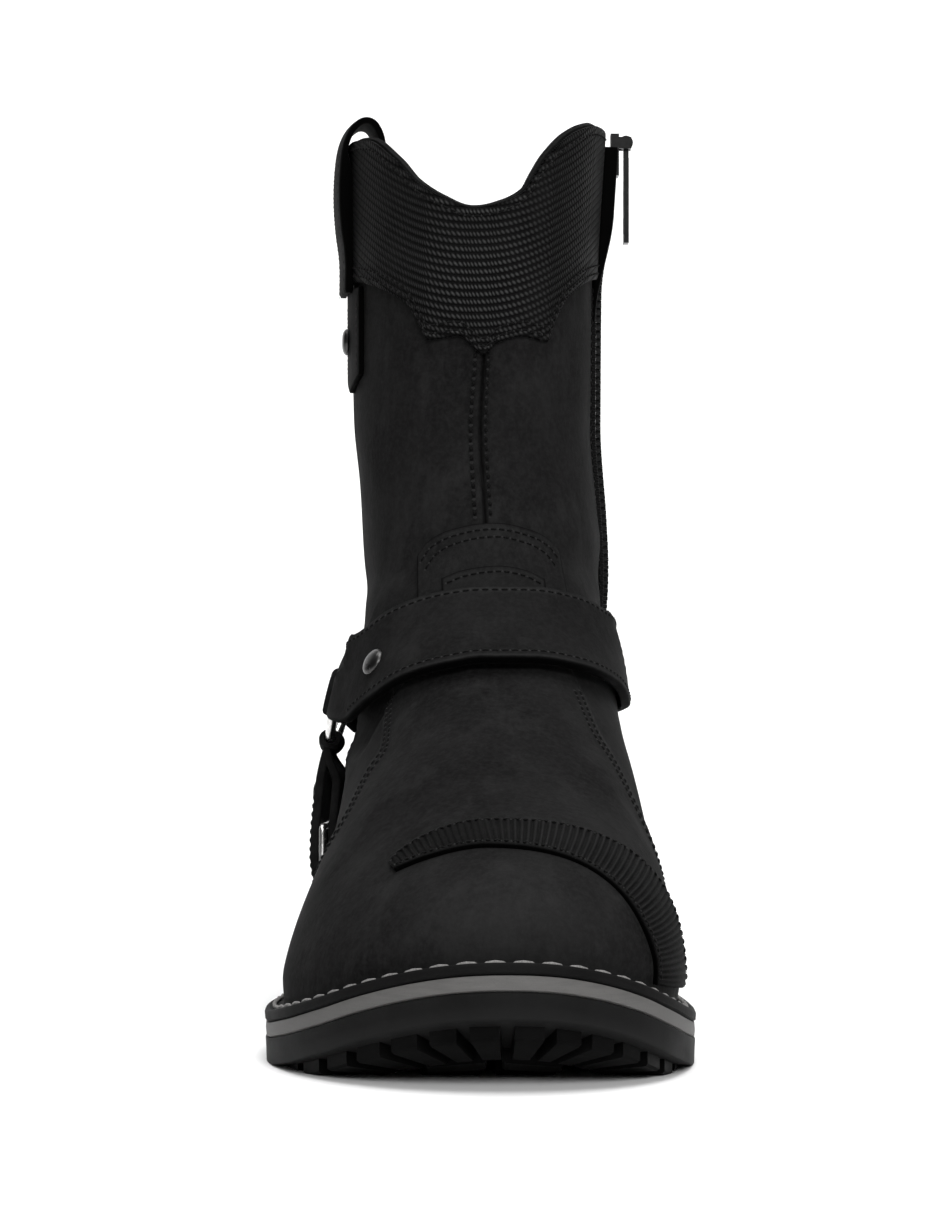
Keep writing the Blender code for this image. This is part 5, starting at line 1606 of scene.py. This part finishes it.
def make_zip():
    """Tape, the leather edge beside it near the collar, teeth, and the metal of the slider and its pull."""
    tall = np.linspace(ZIP_FOOT, TAPE_TOP, TAPE_ROWS)
    shares = edged(2 * TAPE_HALF, TAPE_ACROSS, TAPE_ROUND) - 0.5
    along = zip_along(tall)[:, None] + 2 * TAPE_HALF * shares[None, :]
    heights = np.broadcast_to(tall[:, None], along.shape)
    proud = zip_proud(heights)
    grid = outward(inner_side, heights, along, proud + TAPE_THICK / 2)
    look = PLAIN._replace(worn=0.1)
    form = (TAPE_THICK, TAPE_ROUND, TAPE)
    band("zip_tape_cloth", grid, *form, ["zip_tape"], look, "zip_tape", sink=proud + TAPE_SUNK)
    tall = np.linspace(ZIP_EDGE_LOW, TAPE_TOP, ZIP_EDGE_ROWS)
    shares = edged(ZIP_EDGE_WIDE, ZIP_EDGE_ACROSS, ZIP_EDGE_ROUND)
    along = zip_along(tall)[:, None] + ZIP_EDGE_FROM + ZIP_EDGE_WIDE * shares[None, :]
    heights = np.broadcast_to(tall[:, None], along.shape)
    stands = ZIP_EDGE_STANDS * fade(heights, ZIP_EDGE_LOW, ZIP_EDGE_OVER) + SKIN_GAP
    grid = outward(inner_side, heights, along, stands)
    look = PLAIN._replace(worn=0.2)
    band("zip_edge", grid, ZIP_EDGE_THICK, ZIP_EDGE_ROUND, STRAP_LEATHER, look=look, sink=stands)
    top = SLIDER_TOP - SLIDER_TALL - TEETH_BELOW_SLIDER
    heights = np.arange(ZIP_FOOT + TEETH_ABOVE_FOOT, top, TOOTH_PITCH / 2)
    teeth = [tooth(height, 1 if number % 2 else -1) for number, height in enumerate(heights)]
    points, faces = joined(teeth)
    piece("zip_teeth_row", points, faces, [BLACK_METAL], "zip_metal", ["zip_teeth"], sharp=30)
    for name in ("zip_slider", "zip_pull"):
        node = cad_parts[name]
        node.data.materials.clear()
        node.data.materials.append(BLACK_METAL)
        edges = node.modifiers.new("worn_edges", "BEVEL")
        edges.width = METAL_BEVEL * MM
        edges.segments = 3
        edges.limit_method = "ANGLE"


# Sole

OUTLINE_POINTS = 220
LUG_OUTLINE_POINTS = 56
WELT_INSIDE = 9.0
WELT_SEAM_IN = 2.6
WELT_RUBBED = 0.3
OUTSOLE_RUBBED = 0.35
MIDSOLE_INSET = 0.3
LUGS_START = 158.0
RIM_LUG_MARGIN = 1.8
RIM_LUG_DEEP = 17.0
RIM_LUGS = 11
RIM_LUG_FILL = 0.68
CENTRE_LUG_ROWS = (176.0, 192.5, 209.0, 225.5, 242.0, 258.5, 273.0)
CENTRE_LUG_LONG = 10.0
CENTRE_LUG_HALF = 18.0
CENTRE_LUG_SWEEP = 5.0
CENTRE_LUG_CLEAR = 20.0
CENTRE_GROOVE_HALF = 2.0
LUG_ROOT = 1.5
LUG_BEVEL = 0.6
LUG_BEVEL_REACH = 1.3
HEEL_BREAST = 74.0
HEEL_MIDDLE = 40.0
HEEL_INSET = 1.0
HEEL_TAPER = 0.075
BREAST_HOLLOW = 3.0
# Height share, taper share and pinch of the heel at each step up
HEEL_STEPS = (
    (0.0, 1.0, 0.016),
    (0.03, 0.97, 0.0),
    (0.27, 0.66, 0.0),
    (0.285, 0.64, 0.008),
    (0.30, 0.62, 0.0),
    (0.62, 0.3, 0.0),
    (0.635, 0.29, 0.008),
    (0.65, 0.28, 0.0),
    (0.97, 0.02, 0.0),
    (1.0, 0.0, 0.012),
)
HEEL_GROOVES = (22.0, 40.0, 57.0)
HEEL_GROOVE_LONG = 120.0
HEEL_GROOVE_WIDE = 4.0
HEEL_GROOVE_DEEP = 3.0
INSOLE_INSET = 5.2
INSOLE_TAPER = 2.2
INSOLE_THICK = 4.0


def feather_loop(margin, count=OUTLINE_POINTS):
    """Plan points (x, along) round the feather line, moved out by a margin."""
    turn = -180 + 360 * np.arange(count) / count
    back = PROFILE[0].back_along
    along = (back + TOE_END) / 2 + (TOE_END - back) / 2 * np.cos(np.radians(turn))
    points = side_point(along, feather(along), np.where(turn >= 0, 1, -1))[:, :2]
    ahead = np.roll(points, -1, axis=0) - np.roll(points, 1, axis=0)
    normal = unit(np.stack([ahead[:, 1], -ahead[:, 0]], axis=1))
    outwards = np.sign((normal * (points - points.mean(axis=0))).sum())
    return points + outwards * margin * normal


def sole_loop(margin, height):
    """A loop of points round the foot at a height that follows the sole."""
    plan = feather_loop(margin)
    return np.column_stack([plan, height + sole_rise(plan[:, 1])])


def cap_faces(start, count):
    """Quads across a loop, joining each point to the one opposite; the loop starts at the heel."""
    faces = []
    for j in range(1, count // 2 + 1):
        faces.append((start + j - 1, start + j, start + count - j, start + (count - j + 1) % count))
    return [tuple(dict.fromkeys(face)) for face in faces]


def layer(profile):
    """Points and faces of a sole layer from its edge profile, a margin and a height for each step up."""
    loops = [sole_loop(margin, height) for margin, height in profile]
    faces = grid_faces(len(loops), OUTLINE_POINTS, True)
    faces += cap_faces(0, OUTLINE_POINTS) + cap_faces((len(loops) - 1) * OUTLINE_POINTS, OUTLINE_POINTS)
    return np.concatenate(loops), faces


def lug(corners):
    """A tread block from its four plan corners, with its lower edges rounded off."""
    corners = np.array(corners)
    centre = corners.mean(axis=0)
    reach = np.linalg.norm(corners - centre, axis=1, keepdims=True)
    small = centre + (corners - centre) * (1 - LUG_BEVEL * LUG_BEVEL_REACH / reach)
    loops = []
    for plan, height in ((small, 0.0), (corners, LUG_BEVEL), (corners, LUG_DEPTH + LUG_ROOT)):
        loops.append(np.column_stack([plan, sole_rise(plan[:, 1]) + height]))
    return np.concatenate(loops), grid_faces(3, 4, True) + [(0, 1, 2, 3), (11, 10, 9, 8)]


def rim_lugs():
    """Blocks along both edges of the forepart and round the toe."""
    outer = feather_loop(RIM_LUG_MARGIN, LUG_OUTLINE_POINTS)
    inner = feather_loop(RIM_LUG_MARGIN - RIM_LUG_DEEP, LUG_OUTLINE_POINTS)
    front = [j for j in range(LUG_OUTLINE_POINTS) if outer[j][1] > LUGS_START]
    place = np.arange(len(front))
    lugs = []
    for k in range(RIM_LUGS * 2):
        ends = [(len(front) - 1) * (k + 0.5 + half * RIM_LUG_FILL / 2) / (RIM_LUGS * 2) for half in (-1, 1)]
        corners = []
        for loop, at in ((outer, ends[0]), (outer, ends[1]), (inner, ends[1]), (inner, ends[0])):
            corners.append([np.interp(at, place, loop[front, axis]) for axis in (0, 1)])
        lugs.append(lug(corners))
    return lugs


def centre_lugs():
    """Swept blocks down the middle of the forepart, in left and right halves."""
    lugs = []
    for along in CENTRE_LUG_ROWS:
        toe = rounded((along - TOE_END + TOE_ROUND) / TOE_ROUND, TOE_POWER)
        half = min(CENTRE_LUG_HALF, float(foot_half(along) * toe) - CENTRE_LUG_CLEAR)
        for side in (-1, 1):
            near = float(foot_centre(along)) + side * CENTRE_GROOVE_HALF
            far = float(foot_centre(along)) + side * half
            back = [(near, along), (far, along - CENTRE_LUG_SWEEP)]
            lugs.append(lug(back + [(x, start + CENTRE_LUG_LONG) for x, start in reversed(back)]))
    return lugs


def make_outsole():
    edge = SOLE_MARGIN
    profile = (
        (edge - 2.0, LUG_DEPTH),
        (edge - 0.9, LUG_DEPTH + 0.2),
        (edge - 0.5, LUG_DEPTH + 0.8),
        (edge - 0.4, OUTSOLE_TOP - 3.5),
        (edge - 0.25, OUTSOLE_TOP - 0.5),
        (edge - 0.7, OUTSOLE_TOP),
    )
    body = layer(profile)
    points, faces = joined([body] + rim_lugs() + centre_lugs())
    # The lugs take the darker rubber, painted shade
    inside = [0] * len(body[1]) + [1] * (len(faces) - len(body[1]))
    wear_and_painted_light = np.zeros(len(points))
    wear_and_painted_light[2 * OUTLINE_POINTS : 3 * OUTLINE_POINTS] = OUTSOLE_RUBBED
    kinds = {"wear_and_painted_light": wear_and_painted_light, "inside": inside}
    piece("outsole_rubber", points, faces, [RUBBER, TREAD_PAINTED_SHADE], "rubber_black", ["outsole"], **kinds)


def make_midsole():
    edge = SOLE_MARGIN - MIDSOLE_INSET
    low = OUTSOLE_TOP + SEAT_GAP - 0.2
    profile = ((edge - 0.9, low), (edge - 0.15, low + 0.35), (edge, (low + MIDSOLE_TOP) / 2))
    profile += ((edge - 0.15, MIDSOLE_TOP - 0.2), (edge - 0.9, MIDSOLE_TOP + 0.15))
    points, faces = layer(profile)
    piece("midsole_layer", points, faces, [MIDSOLE], "midsole_grey", ["midsole"])


def make_welt():
    low = MIDSOLE_TOP + SEAT_GAP - 0.1
    edge = SOLE_MARGIN
    profile = (
        (edge - 0.8, low),
        (edge - 0.1, low + 0.4),
        (edge, WELT_TOP - 1.2),
        (edge - 0.35, WELT_TOP - 0.35),
        (edge - 1.2, WELT_TOP),
        (edge - 1.7, WELT_TOP - 0.12),
        (edge - 4.2, WELT_TOP - 0.12),
        (edge - 4.6, WELT_TOP),
        (-WELT_INSIDE, WELT_TOP),
        (-WELT_INSIDE, low),
    )
    loops = [sole_loop(margin, height) for margin, height in profile]
    faces = ring_faces(len(loops), OUTLINE_POINTS)
    wear_and_painted_light = np.zeros(len(loops) * OUTLINE_POINTS)
    wear_and_painted_light[3 * OUTLINE_POINTS : 5 * OUTLINE_POINTS] = WELT_RUBBED
    piece("welt_strip", np.concatenate(loops), faces, [WELT], "welt", ["welt"], wear_and_painted_light=wear_and_painted_light)
    path = sole_loop(SOLE_MARGIN - WELT_SEAM_IN, WELT_TOP)
    path = np.concatenate([path, path[:1]])
    seam = Seam(path, np.broadcast_to(UPWARD, path.shape))
    stitches("welt_stitches", [seam], WELT_STITCH, GREY_THREAD, "welt", sink=0.0)


def make_insole():
    base = FEATHER_HEIGHT
    inset = -INSOLE_INSET
    profile = (
        (inset, base),
        (inset - INSOLE_TAPER * 0.7, base + INSOLE_THICK - 0.8),
        (inset - INSOLE_TAPER, base + INSOLE_THICK - 0.1),
        (inset - INSOLE_TAPER - 1.2, base + INSOLE_THICK),
    )
    points, faces = layer(profile)
    piece("insole_footbed", points, faces, [FOOTBED], "insole", ["insole"], flat=points[:, :2])


def make_heel():
    """The heel block: stacked lifts with a fine line between them, tapering down to a grooved tread."""
    loop = feather_loop(SOLE_MARGIN - HEEL_INSET)
    back = loop[loop[:, 1] < HEEL_BREAST - BREAST_HOLLOW]
    order = np.argsort(np.arctan2(back[:, 0] - foot_centre(HEEL_MIDDLE), HEEL_BREAST - back[:, 1]))
    half = foot_half(HEEL_BREAST) + SOLE_MARGIN - HEEL_INSET - FEATHER_TUCK
    share = np.linspace(1, -1, 25)
    hollow = HEEL_BREAST - BREAST_HOLLOW * (1 - share**2)
    breast = np.column_stack([foot_centre(HEEL_BREAST) + half * share, hollow])
    outline = np.concatenate([back[order], breast])
    centre = outline.mean(axis=0)
    top = sole_rise(outline[:, 1]) + LUG_DEPTH - SEAT_GAP + 0.2
    loops = []
    for tall, taper, pinch in HEEL_STEPS:
        plan = centre + (1 - taper * HEEL_TAPER - pinch) * (outline - centre)
        loops.append(np.column_stack([plan, tall * top]))
    faces = capped_faces(len(loops), len(outline))
    heel = piece("heel_block", np.concatenate(loops), faces, [RUBBER], "rubber_black", ["heel"])
    for along in HEEL_GROOVES:
        cut_groove(heel, along)


def cut_groove(heel, along):
    """Cuts a cross groove into the heel's tread."""
    bpy.ops.mesh.primitive_cube_add(size=1, location=to_world(np.array([0.0, along, 0.0])))
    cutter = bpy.context.object
    cutter.scale = (HEEL_GROOVE_LONG * MM, HEEL_GROOVE_WIDE * MM, 2 * HEEL_GROOVE_DEEP * MM)
    cut = heel.modifiers.new("groove", "BOOLEAN")
    cut.operation = "DIFFERENCE"
    cut.object = cutter
    bpy.context.view_layer.update()
    shaped = bpy.data.meshes.new_from_object(heel.evaluated_get(bpy.context.evaluated_depsgraph_get()))
    heel.modifiers.clear()
    heel.data = shaped
    bpy.data.objects.remove(cutter, do_unlink=True)


# Stage, light and camera

CAMERA_PLACE = (-0.00267, -1.21315, 0.1285)
CAMERA_LENS = 123.1
WORLD_STRENGTH = 0.12
LIGHTS = [
    ("left", (-0.4, -1.8, 1.3), (0.0, 0.0, 0.12), (0.9, 0.8), 1.5),
    ("right", (0.8, -1.7, 1.2), (0.0, 0.0, 0.12), (0.9, 0.8), 9.0),
    ("top", (0.1, -0.4, 1.9), (0.0, -0.05, 0.1), (1.2, 1.2), 27.0),
    ("front", (0.25, -2.1, 1.1), (0.0, 0.0, 0.06), (1.0, 0.7), 24.0),
    ("backdrop", (0.0, 0.5, 2.4), (0.0, 1.9, 0.9), (3.0, 1.0), 50.0),
]
CAMERA_SENSOR = 36.0
FLOOR_HALF = 3.0
FLOOR_PROFILE = ((-2.2, 0.0), (0.8, 0.0), (1.3, 0.06), (1.7, 0.3), (1.95, 0.8), (2.0, 3.2))


def make_stage():
    """A pale floor that curves up into a backdrop, soft lights and the camera in front of the toe."""
    floor_points = []
    for y, z in FLOOR_PROFILE:
        floor_points += [(-FLOOR_HALF, y, z), (FLOOR_HALF, y, z)]
    mesh = bpy.data.meshes.new("studio_floor")
    mesh.from_pydata(floor_points, [], grid_faces(len(FLOOR_PROFILE), 2, False))
    mesh.shade_smooth()
    floor = placed("studio_floor", mesh)
    soft = floor.modifiers.new("soft", "SUBSURF")
    soft.levels = soft.render_levels = 3
    paint = Surface("studio_white", grey(0.93), 0.9)
    mesh.materials.append(paint.material)
    for name, place, aim, size, watts in LIGHTS:
        data = bpy.data.lights.new(name, "AREA")
        data.shape = "RECTANGLE"
        data.size, data.size_y = size
        data.energy = watts
        light = placed(name, data)
        light.location = place
        light.rotation_euler = (Vector(aim) - Vector(place)).to_track_quat("-Z", "Y").to_euler()
    world = bpy.data.worlds.new("studio")
    world.use_nodes = True
    world.node_tree.nodes["Background"].inputs["Color"].default_value = (1, 1, 1, 1)
    world.node_tree.nodes["Background"].inputs["Strength"].default_value = WORLD_STRENGTH
    bpy.context.scene.world = world
    bpy.context.scene.view_settings.view_transform = "Standard"
    data = bpy.data.cameras.new("camera")
    data.lens = CAMERA_LENS
    data.sensor_width = CAMERA_SENSOR
    camera = placed("camera", data)
    camera.location = CAMERA_PLACE
    camera.rotation_euler = (math.pi / 2, 0, 0)
    bpy.context.scene.camera = camera


make_upper()
make_collar_panel()
make_instep_layers()
make_shift_pad()
make_seam_stitches()
make_ring()
make_straps()
make_rivets()
make_keeper()
make_pull_strap()
make_zip()
make_outsole()
make_midsole()
make_welt()
make_insole()
make_heel()
make_stage()
